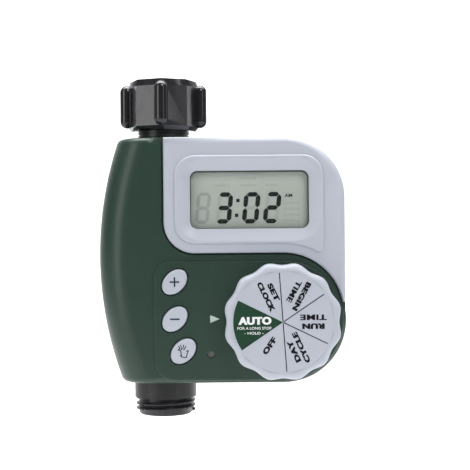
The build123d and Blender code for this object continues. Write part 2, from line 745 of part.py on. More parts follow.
def hose_thread():
    """The male thread: a blunt-ended ridge. Four fine lines split its crest, to measure it as a pin."""
    start, turns = OUTLET_END + 1.5, 2.5
    half_foot, half_crest = THREAD_PITCH * 0.46, THREAD_PITCH * 0.14
    points = [
        (OUTLET_ROOT_R - 0.5, -half_foot),
        (OUTLET_R + 0.2, -half_crest),
        (OUTLET_R + 0.2, half_crest),
        (OUTLET_ROOT_R - 0.5, half_foot),
    ]
    section = make_face(Polyline(*points, close=True))
    path = Helix(THREAD_PITCH, THREAD_PITCH * turns, OUTLET_R)
    ridge = sweep(Plane.XZ * section, path=path, is_frenet=True)
    ridge = (Pos(0, 0, start) * ridge) & upright(OUTLET_R, OUTLET_END, COLLAR_BOTTOM)
    line = Pos(OUTLET_R, 0, start + 4) * Box(0.3, 0.3, 16)
    for i in range(4):
        ridge -= Rot(0, 0, 45 + 90 * i) * line
    return ridge


def nut_block():
    """The nut's eight-sided outside, with a long bevel above and a short one below."""
    outline = RegularPolygon(NUT_R, 8)
    high, low = -NUT_CHAMFER, NUT_BOTTOM + NUT_FOOT
    block_up = Pos(0, 0, low) * extrude(outline, high - low)
    block_up += Pos(0, 0, high) * extrude(outline, NUT_CHAMFER, taper=NUT_TAPER)
    return block_up + Pos(0, 0, low) * extrude(outline, NUT_FOOT, dir=(0, 0, -1), taper=36)


def grip_rib():
    """One upright grip rib, round all over."""
    middle, reach = (RIB_TOP + RIB_BOTTOM) / 2, (RIB_TOP - RIB_BOTTOM) / 2 - RIB_ROUND
    rib = upright(RIB_ROUND, middle - reach, middle + reach)
    rib += Pos(0, 0, middle - reach) * Sphere(RIB_ROUND) + Pos(0, 0, middle + reach) * Sphere(RIB_ROUND)
    return Pos(RIB_R - RIB_ROUND, 0, 0) * rib


def inlet_nut():
    """The eight-sided swivel nut with four grip ribs, threaded for the tap."""
    nut = nut_block()
    for i in range(RIBS):
        nut += Rot(0, 0, 360 * i / RIBS) * grip_rib()
    nut -= upright(NUT_MINOR_R, NUT_THREAD_END - 4, 1)
    nut -= upright(NUT_CAVITY_R, NUT_LIP_Z, NUT_THREAD_END)
    nut -= upright(NUT_LIP_R, NUT_BOTTOM - 1, NUT_LIP_Z + 1)
    turns = 4.0
    nut -= thread_groove(NUT_MINOR_R, NUT_MAJOR_R, 0.8 - THREAD_PITCH * turns, turns)
    mouth = Polyline(
        (0, 0.1), (NUT_MINOR_R + 0.6, 0.1), (NUT_MINOR_R, -0.5), (0, -0.5), close=True
    )
    return (nut - revolve(Plane.XZ * make_face(mouth), Axis.Z)).solid()


def inlet_washer():
    """The rubber washer that seals against the tap."""
    return upright(12.0, SPIGOT_TOP, SPIGOT_TOP + 3.0) - upright(8.2, SPIGOT_TOP - 1, SPIGOT_TOP + 4)


def inlet_screen():
    """The steel dirt screen: a shallow cup with a rim and a field of holes."""
    rim_z = SPIGOT_TOP - 0.25
    screen = upright(8.1, rim_z, rim_z + 0.6) + upright(6.6, rim_z - 5.0, rim_z)
    screen -= upright(6.1, rim_z - 4.5, rim_z + 1)
    for i in range(-2, 3):
        for j in range(-2, 3):
            if i * i + j * j < 8:
                screen -= upright(0.75, rim_z - 6, rim_z - 4, i * 2.1, j * 2.1)
    return screen


def retaining_ring():
    """The split ring in the spigot's groove. The nut's lip pulls up on it."""
    z = NUT_LIP_Z + 0.25
    ring_body = upright(12.6, z, z + 1.5) - upright(SPIGOT_R - 0.65, z - 1, z + 3)
    return ring_body - Pos(0, -11.5, z) * Box(2.0, 6.0, 6.0)


def valve_body():
    """The black pipe: spigot and neck above, valve chamber in the middle, collar and hose thread below."""
    ring_z = NUT_LIP_Z + 0.25
    body = upright(SPIGOT_R, NECK_TOP - 1, SPIGOT_TOP)
    body += upright(NECK_R, CASE_TOP - 4, NECK_TOP)
    body += upright(PIPE_R, COLLAR_TOP, CASE_TOP - 3)
    body += upright(COLLAR_R, COLLAR_BOTTOM, COLLAR_TOP)
    outlet = upright(OUTLET_ROOT_R, OUTLET_END, COLLAR_BOTTOM + 0.5)
    foot = outlet.edges().filter_by(GeomType.CIRCLE).sort_by(Axis.Z)[0]
    outlet = chamfer(foot, 0.8) + hose_thread()
    body += outlet
    for z in (NECK_TOP - 1.2, NECK_TOP - 2.9):
        body -= upright(NECK_R + 1, z - 0.35, z + 0.35) - upright(NECK_R - 0.7, z - 1, z + 1)
    body -= upright(13.0, ring_z - 0.05, ring_z + 1.6) - upright(SPIGOT_R - 0.7, ring_z - 1, ring_z + 3)
    body += across(CHAMBER_R, SEAT_X - 3, FLANGE_X) + across(CHAMBER_R - 3, 4, SEAT_X)
    body -= across(9.5, 14.0, FLANGE_X + 1) - across(SEAT_R + 1.5, 10, SEAT_X)
    body -= across(DIAPHRAGM_R + 0.1, SEAT_X, FLANGE_X + 1)
    body -= across(SEAT_R, 0, FLANGE_X)
    body -= upright(BORE_R, -54.5, 1)
    body -= upright(BORE_R, OUTLET_END, CHAMBER_Z)
    body -= upright(OUTLET_BORE_R, OUTLET_END - 1, COLLAR_TOP - 4)
    body -= across(2.4, 0, 15.0, CHAMBER_Y, -54.2)
    body -= upright(8.3, SPIGOT_TOP - 0.25, 1)
    for y, z in bonnet_screw_places():
        body -= across(1.0, SEAT_X - 2.5, FLANGE_X + 1, y, z)
    return body.solid()


def bonnet_screw_places():
    """The four screws' centres round the valve's axis."""
    places = []
    for i in range(4):
        a = radians(45 + 90 * i)
        places.append((CHAMBER_Y + 13.9 * cos(a), CHAMBER_Z + 13.9 * sin(a)))
    return places


def diaphragm():
    """The rubber diaphragm: a thin web inside a thick bead."""
    bead = across(DIAPHRAGM_R, SEAT_X + 0.05, FLANGE_X + 0.9) - across(9.6, 0, 50)
    return bead + across(9.8, SEAT_X + 0.05, SEAT_X + 1.1)


def diaphragm_poppet():
    """The stiff disc behind the diaphragm that closes the seat."""
    return across(6.0, SEAT_X + 1.12, SEAT_X + 2.7) + across(2.0, SEAT_X + 2.6, SEAT_X + 3.4)


def valve_bonnet():
    """The valve's cap, with the plunger's guide tube."""
    bonnet = across(CHAMBER_R, FLANGE_X, BONNET_X) + across(5.2, BONNET_X - 1, 50.0)
    bonnet -= across(DIAPHRAGM_R + 0.1, FLANGE_X - 1, FLANGE_X + 1)
    bonnet -= across(9.5, FLANGE_X - 1, FLANGE_X + 3.0)
    bonnet -= across(4.1, BONNET_X - 0.4, 51.0)
    bonnet -= across(0.6, FLANGE_X, BONNET_X + 1)
    for y, z in bonnet_screw_places():
        bonnet -= across(1.4, 0, 50, y, z)
    return bonnet


def bonnet_screws():
    """The bonnet's four screws, one solid each."""
    screws = []
    for y, z in bonnet_screw_places():
        shank = across(0.97, SEAT_X - 2.0, BONNET_X + 0.3, y, z)
        screws.append(shank + across(2.0, BONNET_X, BONNET_X + 1.6, y, z))
    return Compound(children=screws)


def coil_spring(r, wire, pitch, height, x_start):
    """A small compression spring along the valve's axis."""
    path = Helix(pitch, height, r)
    section = Plane(path @ 0, z_dir=path % 0) * Circle(wire)
    spring = sweep(section, path=path)
    return Pos(x_start, CHAMBER_Y, CHAMBER_Z) * Rot(0, 90, 0) * spring


def coil_bobbin():
    """The plastic bobbin that the copper is wound on."""
    bobbin = across(5.9, COIL_LEFT, COIL_RIGHT)
    bobbin += across(COIL_R + 0.4, COIL_LEFT, COIL_LEFT + 1.2)
    bobbin += across(COIL_R + 0.4, COIL_RIGHT - 1.2, COIL_RIGHT)
    return bobbin - across(5.25, 0, 60)


def coil_winding():
    """The copper winding, as one closed solid."""
    return across(COIL_R, COIL_LEFT + 1.25, COIL_RIGHT - 1.25) - across(5.95, 0, 60)


def coil_yoke():
    """The bent steel frame that closes the coil's magnetic path."""
    high = 12.4
    yoke = Pos(COIL_LEFT - 0.9, CHAMBER_Y, CHAMBER_Z + 1) * Box(1.5, 17, 2 * high - 2)
    yoke += Pos(COIL_RIGHT + 0.9, CHAMBER_Y, CHAMBER_Z + 1) * Box(1.5, 17, 2 * high - 2)
    span = COIL_RIGHT - COIL_LEFT + 3.3
    yoke += Pos((COIL_LEFT + COIL_RIGHT) / 2, CHAMBER_Y, CHAMBER_Z + high - 0.75) * Box(span, 17, 1.5)
    yoke -= across(5.3, 0, 80)
    for y, z in bonnet_screw_places():
        yoke -= across(2.2, 0, 31, y, z)
    return yoke


def plunger():
    """The steel plunger with its rubber tip's seat end towards the pilot hole."""
    rod = across(PLUNGER_R, 28.5, 44.0)
    return rod - across(2.6, 41.5, 45.0)


def pilot_tip():
    """The rubber tip that closes the pilot hole."""
    return across(2.2, 27.65, 28.5)


def fixed_core():
    """The fixed steel core that the plunger is pulled to."""
    return across(4.05, 45.8, 50.0) - across(2.6, 40, 47.0)


def latch_magnet():
    """The ring magnet that holds the plunger open without current."""
    return across(7.0, 51.1, 54.6) - across(2.0, 50, 60)


# ================================================================ battery bay


def lid_outline(grow, f_back, f_front):
    """The tray's lid, seen from the front."""
    return tray_outline(LID_MARGIN + grow, f_back, f_front)


def battery_tray():
    """The pull-out tray: an open box for two cells behind a lid with grip ridges."""
    tray = tray_outline(0, -LID_FRONT_Y - 0.3, -TRAY_FRONT_Y)
    tray -= block(
        TRAY_LEFT + TRAY_WALL,
        TRAY_RIGHT - TRAY_WALL,
        TRAY_BOTTOM + TRAY_WALL,
        TRAY_TOP - TRAY_WALL,
        -LID_FRONT_Y,
        -TRAY_FRONT_Y - TRAY_WALL,
    )
    tray -= block(
        TRAY_LEFT + TRAY_END,
        TRAY_RIGHT - TRAY_END,
        TRAY_BOTTOM - 1,
        TRAY_TOP + 1,
        -LID_FRONT_Y + 4.5,
        -TRAY_FRONT_Y - TRAY_WALL,
    )
    lid = lid_outline(0, -BACK_Y, -LID_FRONT_Y)
    rim = lid.edges().filter_by_position(Axis.Y, BACK_Y - 0.01, BACK_Y + 0.01)
    lid = fillet(rim, 0.5)
    for side in (-1, 1):
        middle = (TRAY_LEFT + TRAY_RIGHT) / 2 + side * ((TRAY_RIGHT - TRAY_LEFT) / 2 - 1.0)
        for k in range(5):
            z = (TRAY_TOP + TRAY_BOTTOM) / 2 + (k - 2) * 2.6
            lid -= block(middle - 2.6, middle + 2.6, z - 0.6, z + 0.6, -BACK_Y - 1, -BACK_Y + 0.7)
    tray += lid
    for x in BLADE_X:
        tray -= block(x - 2.2, x + 2.2, BLADE_Z - 1.4, BLADE_Z + 1.4, -5, 0)
    return tray


def battery_cell(z, flip):
    """An AA cell lying across the tray, with its button end."""
    x = (TRAY_LEFT + TRAY_RIGHT) / 2 + (-CELL_SHIFT if flip else CELL_SHIFT)
    half = CELL_LENGTH / 2
    cell = across(CELL_R, x - half, x + half - 1.0, CELL_Y, z)
    cell = fillet(cell.edges().filter_by(GeomType.CIRCLE), 0.7)
    cell += across(2.7, x + half - 1.2, x + half, CELL_Y, z)
    return cell.rotate(Axis((x, CELL_Y, z), (0, 1, 0)), 180) if flip else cell


def cell_heights():
    """The heights of the upper and the lower cell."""
    middle = (TRAY_TOP + TRAY_BOTTOM) / 2
    return middle + CELL_PITCH / 2, middle - CELL_PITCH / 2


def cell_springs():
    """The two springs at the cells' flat ends, each with its plate."""
    found = []
    for z, side in zip(cell_heights(), (-1, 1)):
        wall = TRAY_LEFT + TRAY_WALL if side < 0 else TRAY_RIGHT - TRAY_WALL
        plate = Pos(wall - side * 0.2, CELL_Y, z) * Box(0.3, 9, 10)
        path = Helix(1.0, 2.4, 3.0)
        section = Plane(path @ 0, z_dir=path % 0) * Circle(0.3)
        turned = Rot(0, -90 * side, 0) * sweep(section, path=path)
        found += [plate, Pos(wall - side * 0.7, CELL_Y, z) * turned]
    return Compound(children=found)


def cell_plates():
    """The two plates at the cells' button ends."""
    found = []
    for z, side in zip(cell_heights(), (1, -1)):
        wall = TRAY_LEFT + TRAY_WALL if side < 0 else TRAY_RIGHT - TRAY_WALL
        found.append(Pos(wall - side * 0.2, CELL_Y, z) * Box(0.3, 9, 10))
    return Compound(children=found)


def tray_seal():
    """The rubber ring under the tray's lid."""
    return lid_outline(-0.3, -20.15, -19.35) - tray_outline(0.05, -21, -19)


def bay_blades():
    """The two sprung blades that meet the tray's contacts through the bay's wall."""
    blades = []
    for x in BLADE_X:
        blade = block(x - 1.8, x + 1.8, BLADE_Z - 0.4, BLADE_Z + 0.4, -3.45, -0.6)
        blades.append(blade + block(x - 1.8, x + 1.8, BLADE_Z - 0.4, BLADE_Z + 5, -1.2, -0.6))
    return Compound(children=blades)


def tray_contacts():
    """The tray's own two contact strips, set in its front wall."""
    strips = []
    for x in BLADE_X:
        strips.append(block(x - 2.2, x + 2.2, BLADE_Z - 1.4, BLADE_Z + 1.4, -4.4, -3.5))
    return Compound(children=strips)


def lead(points, r=0.6):
    """An insulated wire: straight runs joined by round bends."""
    radii = []
    for a, b, c in zip(points, points[1:], points[2:]):
        before, after = Vector(*b) - Vector(*a), Vector(*c) - Vector(*b)
        turn = before.get_angle(after)
        reach = 0.45 * min(before.length, after.length)
        radii.append(reach / sin(radians(turn / 2)) * cos(radians(turn / 2)))
    path = FilletPolyline(*points, radius=radii)
    return sweep(Plane(path @ 0, z_dir=path % 0) * Circle(r), path=path)


def coil_leads():
    """The two wires from the coil to the board."""
    return Compound(
        children=[
            lead([(48.6, 2.0 + d, -73.1), (48.6, 2.0 + d, -80.0), (end, 0.0, -84.5), (end, -8.1, -84.5)])
            for d, end in ((0.0, 58.0), (2.4, 61.0))
        ]
    )


def battery_leads():
    """The two wires from the bay's blades to the board."""
    return Compound(
        children=[
            lead([(x, 0.0, -93.4), (x, 0.0, -88.0), (end, -3.0, -84.5), (end, -8.1, -84.5)])
            for x, end in zip(BLADE_X, (35.9, 38.7))
        ]
    )


# ================================================================ all the pieces


def all_parts():
    """Every sub-part by name."""
    high, low = cell_heights()
    parts = {
        "rear_shell": rear_shell(),
        "front_shell": front_shell(),
        "display_cover": display_cover(),
        "shell_seal": shell_seal(0.02),
        "case_screws": Compound(children=[case_screw(x, z) for x, z in CASE_SCREWS]),
        "dial_pointer": slab(pointer_face(), PANEL_F - POINTER_T, PANEL_F + 0.05),
        "lcd_lens": lcd_lens(),
        "lcd_panel": lcd_panel(),
        "lcd_frame": lcd_frame(),
        "zebra_strip": zebra_strip(),
        "main_board": main_board(),
        "board_screws": board_screws(),
        "board_chips": board_chips(),
        "board_sockets": board_sockets(),
        "reset_pin": reset_pin(),
        "reset_dome": switch_dome(RESET_X, RESET_Z, 2.2),
        "dial_knob": dial_knob(),
        "dial_label": disc(
            DIAL_X,
            DIAL_Z,
            LABEL_R,
            DIAL_FRONT_F - LABEL_DEPTH,
            DIAL_FRONT_F - LABEL_DEPTH + LABEL_T,
        ),
        "dial_shaft": dial_shaft(),
        "dial_clip": dial_clip(),
        "dial_seal": dial_seal(),
        "dial_rotor": dial_rotor(),
        "wiper_contact": wiper_contact(),
        "contact_pads": contact_pads(),
        "detent_spring": detent_spring(),
        "inlet_nut": inlet_nut(),
        "inlet_washer": inlet_washer(),
        "inlet_screen": inlet_screen(),
        "retaining_ring": retaining_ring(),
        "valve_body": valve_body(),
        "diaphragm": diaphragm(),
        "diaphragm_poppet": diaphragm_poppet(),
        "poppet_spring": coil_spring(3.4, 0.3, 0.85, 1.3, SEAT_X + 3.1),
        "valve_bonnet": valve_bonnet(),
        "bonnet_screws": bonnet_screws(),
        "coil_bobbin": coil_bobbin(),
        "coil_winding": coil_winding(),
        "coil_yoke": coil_yoke(),
        "plunger": plunger(),
        "pilot_tip": pilot_tip(),
        "plunger_spring": coil_spring(2.0, 0.25, 1.2, 4.6, 41.9),
        "fixed_core": fixed_core(),
        "latch_magnet": latch_magnet(),
        "coil_leads": coil_leads(),
        "battery_tray": battery_tray(),
        "battery_cell_upper": battery_cell(high, False),
        "battery_cell_lower": battery_cell(low, True),
        "cell_springs": cell_springs(),
        "cell_plates": cell_plates(),
        "tray_seal": tray_seal(),
        "tray_contacts": tray_contacts(),
        "bay_blades": bay_blades(),
        "battery_leads": battery_leads(),
    }
    for name, centre in BUTTON_CENTRES.items():
        parts[name] = push_button(centre)
        parts[name.replace("button", "dome")] = switch_dome(*centre)
    return parts


def main():
    """Writes one STEP file for each sub-part."""
    os.makedirs("parts", exist_ok=True)
    for name, shape in all_parts().items():
        export_step(shape, f"parts/{name}.step")


main()
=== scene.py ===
import json
import logging
from collections.abc import Iterable, Mapping, Sequence
from dataclasses import dataclass, field
from enum import Enum
from math import cos, pi, radians, sin

import bmesh
import bpy
from mathutils import Matrix, Vector


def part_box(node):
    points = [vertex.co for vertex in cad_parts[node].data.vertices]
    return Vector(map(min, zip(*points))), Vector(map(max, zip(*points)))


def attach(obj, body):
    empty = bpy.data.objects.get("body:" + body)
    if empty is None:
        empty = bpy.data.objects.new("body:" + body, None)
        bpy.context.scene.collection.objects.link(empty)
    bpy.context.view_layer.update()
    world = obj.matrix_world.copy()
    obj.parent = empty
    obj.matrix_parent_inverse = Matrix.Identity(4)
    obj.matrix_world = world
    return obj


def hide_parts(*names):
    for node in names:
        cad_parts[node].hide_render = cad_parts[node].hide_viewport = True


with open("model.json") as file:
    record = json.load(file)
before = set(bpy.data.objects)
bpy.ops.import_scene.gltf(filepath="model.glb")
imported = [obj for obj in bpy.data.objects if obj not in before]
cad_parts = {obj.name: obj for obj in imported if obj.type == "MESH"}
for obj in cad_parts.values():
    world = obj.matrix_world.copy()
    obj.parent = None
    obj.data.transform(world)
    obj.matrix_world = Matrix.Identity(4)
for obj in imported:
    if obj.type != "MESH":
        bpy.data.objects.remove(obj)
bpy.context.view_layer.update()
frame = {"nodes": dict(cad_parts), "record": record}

log = logging.getLogger("garden_timer")

MM = 0.001
RGB = tuple[float, float, float]
Point = tuple[float, float]
Link = object
TIMER: RGB = (0.028, 0.0, -0.080)


# ==================================================================== node graphs


class Signal:
    """One number that varies over a surface or a shape, with ordinary arithmetic."""

    def __init__(self, graph: "Graph", socket: bpy.types.NodeSocket) -> None:
        """Wraps an output socket.

        Args:
            graph: The graph that the socket's node belongs to.
            socket: The output socket that carries the number.
        """
        self.graph = graph
        self.socket = socket

    def maths(self, operation: str, *values: Link) -> "Signal":
        """Adds one Math node.

        Args:
            operation: The Math node's operation.
            values: The values or links of its sockets, in order.

        Returns:
            The node's result.
        """
        made = self.graph.node("ShaderNodeMath", {"operation": operation}, dict(enumerate(values)))
        return Signal(self.graph, made.outputs[0])

    def __add__(self, other: Link) -> "Signal":
        """The sum."""
        return self.maths("ADD", self, other)

    def __sub__(self, other: Link) -> "Signal":
        """The difference."""
        return self.maths("SUBTRACT", self, other)

    def __rsub__(self, other: Link) -> "Signal":
        """The difference, with this signal taken away."""
        return self.maths("SUBTRACT", other, self)

    def __mul__(self, other: Link) -> "Signal":
        """The product."""
        return self.maths("MULTIPLY", self, other)

    def __truediv__(self, other: Link) -> "Signal":
        """The quotient."""
        return self.maths("DIVIDE", self, other)

    __radd__ = __add__
    __rmul__ = __mul__

    def band(self, low: float, high: float, soft: float) -> "Signal":
        """A soft-edged window.

        Args:
            low: Where the window opens.
            high: Where it closes.
            soft: How wide each edge is.

        Returns:
            1 inside the window, 0 outside it.
        """
        return self.rise(low, soft) * (1 - self.rise(high, soft))

    def rise(self, at: float, soft: float) -> "Signal":
        """A soft step from 0 to 1, centred on a value."""
        made = self.graph.node(
            "ShaderNodeMapRange",
            {"interpolation_type": "SMOOTHSTEP"},
            {"Value": self, "From Min": at - soft / 2, "From Max": at + soft / 2},
        )
        return Signal(self.graph, made.outputs[0])


class Graph:
    """A node tree that is being built, for a finish or for a shape."""

    def __init__(self, tree: bpy.types.NodeTree) -> None:
        """Takes over an empty tree.

        Args:
            tree: The tree that gets the nodes.
        """
        self.tree = tree

    def node(self, kind: str, settings: Mapping | None = None,
             sockets: Mapping | None = None) -> bpy.types.Node:
        """Adds any node.

        Args:
            kind: The node's type.
            settings: Its own settings, set first. "stops" fills a colour ramp.
            sockets: Values or links by the input's name or number.

        Returns:
            The new node.
        """
        made = self.tree.nodes.new(kind)
        for name, value in (settings or {}).items():
            if name == "stops":
                self._fill_ramp(made.color_ramp, value)
            else:
                setattr(made, name, value)
        for key, value in (sockets or {}).items():
            self._connect(made.inputs[key], value)
        return made

    def _fill_ramp(self, ramp: bpy.types.ColorRamp, stops: Sequence[tuple[float, RGB]]) -> None:
        """Gives a ramp its stops."""
        while len(ramp.elements) < len(stops):
            ramp.elements.new(0.5)
        for element, (place, colour) in zip(ramp.elements, stops):
            element.position = place
            element.color = (*colour, 1.0)

    def _connect(self, socket: bpy.types.NodeSocket, value: Link) -> None:
        """Links a socket, or sets its value."""
        if isinstance(value, Signal):
            self.tree.links.new(value.socket, socket)
        elif isinstance(value, bpy.types.NodeSocket):
            self.tree.links.new(value, socket)
        elif isinstance(value, tuple) and socket.type == "RGBA" and len(value) == 3:
            socket.default_value = (*value, 1.0)
        else:
            socket.default_value = value

    def signal(self, socket: bpy.types.NodeSocket) -> Signal:
        """Wraps a socket for arithmetic."""
        return Signal(self, socket)

    def split(self, vector: bpy.types.NodeSocket) -> tuple[Signal, Signal, Signal]:
        """A vector's three parts."""
        made = self.node("ShaderNodeSeparateXYZ", None, {0: vector})
        return tuple(self.signal(made.outputs[i]) for i in range(3))

    def join(self, x: Link, y: Link, z: Link) -> bpy.types.NodeSocket:
        """A vector made from three numbers."""
        return self.node("ShaderNodeCombineXYZ", None, {0: x, 1: y, 2: z}).outputs[0]


class Finish(Graph):
    """The graph of one surface finish, on object coordinates."""

    def __init__(self, name: str) -> None:
        """Starts a material.

        Args:
            name: The finish's name.
        """
        self.material = bpy.data.materials.new(name)
        self.material.use_nodes = True
        super().__init__(self.material.node_tree)
        self.tree.nodes.clear()
        self.place = self.node("ShaderNodeTexCoord").outputs["Object"]

    def stretched(self, scale: RGB, centre: RGB = (0.0, 0.0, 0.0)) -> bpy.types.NodeSocket:
        """Object coordinates, moved and scaled.

        Args:
            scale: The factor along each axis.
            centre: The point that becomes the origin, in metres.

        Returns:
            The vector's socket.
        """
        moved = self.node("ShaderNodeVectorMath", {"operation": "SUBTRACT"}, {0: self.place, 1: centre})
        made = self.node("ShaderNodeVectorMath", {"operation": "MULTIPLY"}, {0: moved.outputs[0], 1: scale})
        return made.outputs[0]

    def noise(self, size: float, detail: float = 2.0, vector: Link | None = None) -> Signal:
        """Cloudy noise.

        Args:
            size: The size of one cloud, in metres.
            detail: How many finer layers it has.
            vector: Other coordinates to read.

        Returns:
            The noise, around 0.5.
        """
        made = self.node(
            "ShaderNodeTexNoise",
            None,
            {"Vector": vector or self.place, "Scale": 1.0 / size, "Detail": detail, "Roughness": 0.55},
        )
        return self.signal(made.outputs[0])

    def cells(self, size: float, feature: str = "F1", vector: Link | None = None) -> Signal:
        """The distance pattern of scattered points."""
        sockets = {"Vector": vector or self.place, "Scale": 1.0 / size}
        made = self.node("ShaderNodeTexVoronoi", {"feature": feature}, sockets)
        return self.signal(made.outputs["Distance"])

    def blend(self, factor: Link, low: Link, high: Link) -> bpy.types.NodeSocket:
        """One colour that changes to another.

        Args:
            factor: 0 for the first colour, 1 for the second.
            low: The first colour.
            high: The second colour.

        Returns:
            The colour's socket.
        """
        made = self.node("ShaderNodeMix", {"data_type": "RGBA"}, {"Factor": factor, 6: low, 7: high})
        return made.outputs[2]

    def mottled(self, colour: RGB, by: Signal, amount: float) -> bpy.types.NodeSocket:
        """A colour that drifts a little darker and lighter."""
        low = tuple(c * (1 - amount) for c in colour)
        high = tuple(min(1.0, c * (1 + amount)) for c in colour)
        return self.blend(by, low, high)

    def bump(self, height: Signal, depth: float, strength: float = 1.0) -> bpy.types.NodeSocket:
        """Small relief.

        Args:
            height: The relief, from 0 to 1.
            depth: Its full height, in metres.
            strength: How strongly it tilts the surface.

        Returns:
            The normal's socket.
        """
        made = self.node("ShaderNodeBump", None, {"Height": height, "Distance": depth, "Strength": strength})
        return made.outputs[0]

    def finish(self, **sockets: Link) -> bpy.types.Material:
        """Ends the graph in one Principled shader.

        Args:
            sockets: Its inputs, with underscores for spaces.

        Returns:
            The finished material.
        """
        named = {key.replace("_", " "): value for key, value in sockets.items()}
        shader = self.node("ShaderNodeBsdfPrincipled", None, named)
        self.node("ShaderNodeOutputMaterial", None, {"Surface": shader.outputs[0]})
        return self.material


# ==================================================================== finishes


@dataclass(frozen=True)
class MouldedPlastic:
    """Injection-moulded plastic with a fine spark texture and a slight drift of shade."""

    name: str
    colour: RGB
    roughness: float = 0.42
    grain: float = 0.35
    grain_size: float = 0.45 * MM
    mottling: float = 0.05
    coat: float = 0.0

    def make(self) -> bpy.types.Material:
        """Builds the material."""
        f = Finish(self.name)
        drift = f.noise(26 * MM, 3.0)
        grain = f.noise(self.grain_size, 3.0)
        pits = f.cells(self.grain_size * 1.6)
        relief = grain * 0.6 + pits * 0.4
        scuffs = f.noise(3.5 * MM, 4.0, f.stretched((1.0, 1.0, 0.35))).rise(0.66, 0.12)
        rough = self.roughness + (drift - 0.5) * 0.10 + (grain - 0.5) * 0.10 + scuffs * 0.05
        return f.finish(
            Base_Color=f.mottled(self.colour, drift * 0.7 + grain * 0.3, self.mottling),
            Roughness=rough,
            Normal=f.bump(relief, 0.02 * MM, self.grain),
            IOR=1.5,
            Coat_Weight=self.coat,
            Coat_Roughness=0.12,
        )


@dataclass(frozen=True)
class GlossNylon:
    """Polished black nylon: a mirror-like skin over faint flow waves."""

    name: str
    colour: RGB
    roughness: float = 0.15

    def make(self) -> bpy.types.Material:
        """Builds the material."""
        f = Finish(self.name)
        waves = f.noise(2.6 * MM, 2.0)
        fine = f.noise(0.35 * MM, 2.0)
        handling = f.noise(6.0 * MM, 4.0).rise(0.6, 0.25)
        return f.finish(
            Base_Color=f.mottled(self.colour, waves, 0.25),
            Roughness=self.roughness + handling * 0.12 + (fine - 0.5) * 0.08,
            Normal=f.bump(waves * 0.8 + fine * 0.2, 0.02 * MM, 0.3),
            IOR=1.53,
            Coat_Weight=0.35,
            Coat_Roughness=0.14,
        )


class MetalKind(Enum):
    """The metals in the timer: colour, roughness and how strongly they are brushed."""

    ZINC = ((0.62, 0.64, 0.66), 0.34, 0.5)
    SPRING = ((0.50, 0.50, 0.51), 0.24, 0.7)
    MESH = ((0.60, 0.60, 0.60), 0.30, 0.4)
    BRASS = ((0.80, 0.60, 0.26), 0.26, 0.6)
    COPPER = ((0.72, 0.30, 0.14), 0.30, 0.3)
    NICKEL = ((0.58, 0.57, 0.55), 0.18, 0.2)


@dataclass(frozen=True)
class Metal:
    """A drawn, stamped or plated metal."""

    name: str
    kind: MetalKind

    def make(self) -> bpy.types.Material:
        """Builds the material."""
        colour, roughness, brushed = self.kind.value
        f = Finish(self.name)
        streaks = f.noise(0.25 * MM, 4.0, f.stretched((0.08, 1.0, 1.0)))
        tarnish = f.noise(2.2 * MM, 4.0)
        dark = tuple(c * 0.72 for c in colour)
        return f.finish(
            Base_Color=f.blend(tarnish.rise(0.62, 0.3), colour, dark),
            Metallic=1.0,
            Roughness=roughness + (streaks - 0.5) * 0.2 * brushed + (tarnish - 0.5) * 0.15,
            Normal=f.bump(streaks, 0.01 * MM, brushed),
        )


@dataclass(frozen=True)
class SoftRubber:
    """Moulded rubber or silicone with a dusty bloom."""

    name: str
    colour: RGB
    roughness: float = 0.72
    glow: float = 0.0

    def make(self) -> bpy.types.Material:
        """Builds the material."""
        f = Finish(self.name)
        bloom = f.noise(1.8 * MM, 4.0)
        skin = f.noise(0.2 * MM, 3.0)
        dusty = tuple(min(1.0, c * 1.5 + 0.02) for c in self.colour)
        return f.finish(
            Base_Color=f.blend(bloom.rise(0.58, 0.4), self.colour, dusty),
            Roughness=self.roughness + (bloom - 0.5) * 0.2,
            Normal=f.bump(skin, 0.015 * MM, 0.6),
            Subsurface_Weight=self.glow,
            Subsurface_Scale=0.6 * MM,
        )


@dataclass(frozen=True)
class ClearWindow:
    """The clear window plate, with a hard coat and faint wipe marks."""

    name: str
    tint: RGB = (0.30, 0.33, 0.33)
    strength: float = 0.025

    def make(self) -> bpy.types.Material:
        """Builds the material."""
        f = Finish(self.name)
        wipes = f.noise(1.2 * MM, 4.0, f.stretched((0.3, 1.0, 1.0)))
        return f.finish(
            Base_Color=self.tint,
            Roughness=0.05 + wipes * 0.05,
            Alpha=self.strength + wipes.rise(0.7, 0.3) * 0.03,
            IOR=1.5,
            Coat_Weight=0.4,
            Coat_Roughness=0.03,
        )


@dataclass(frozen=True)
class LiquidCrystal:
    """The display's reflective rear sheet: grey-green, with a fine sparkle, random cloud, and painted shade
    that darkens it towards the bottom.
    """

    name: str
    colour: RGB = (0.50, 0.545, 0.49)

    def make(self) -> bpy.types.Material:
        """Builds the material."""
        low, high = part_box("lcd_panel")
        middle = tuple((low + high) / 2)
        f = Finish(self.name)
        _, _, z = f.split(f.stretched((1.0, 1.0, 1.0), middle))
        sparkle = f.noise(0.09 * MM, 2.0)
        cloud = f.noise(14 * MM, 2.0)
        # painted shade: the sheet gets darker towards the bottom, mixed with random cloud
        glow = (z / (14 * MM)).rise(-0.2, 2.4) * 0.6 + cloud * 0.4
        shade = tuple(c * 0.86 for c in self.colour)
        return f.finish(
            Base_Color=f.blend(glow + (sparkle - 0.5) * 0.3, shade, self.colour),
            Roughness=0.38 + (sparkle - 0.5) * 0.2,
            Normal=f.bump(sparkle, 0.004 * MM, 0.4),
            IOR=1.5,
        )


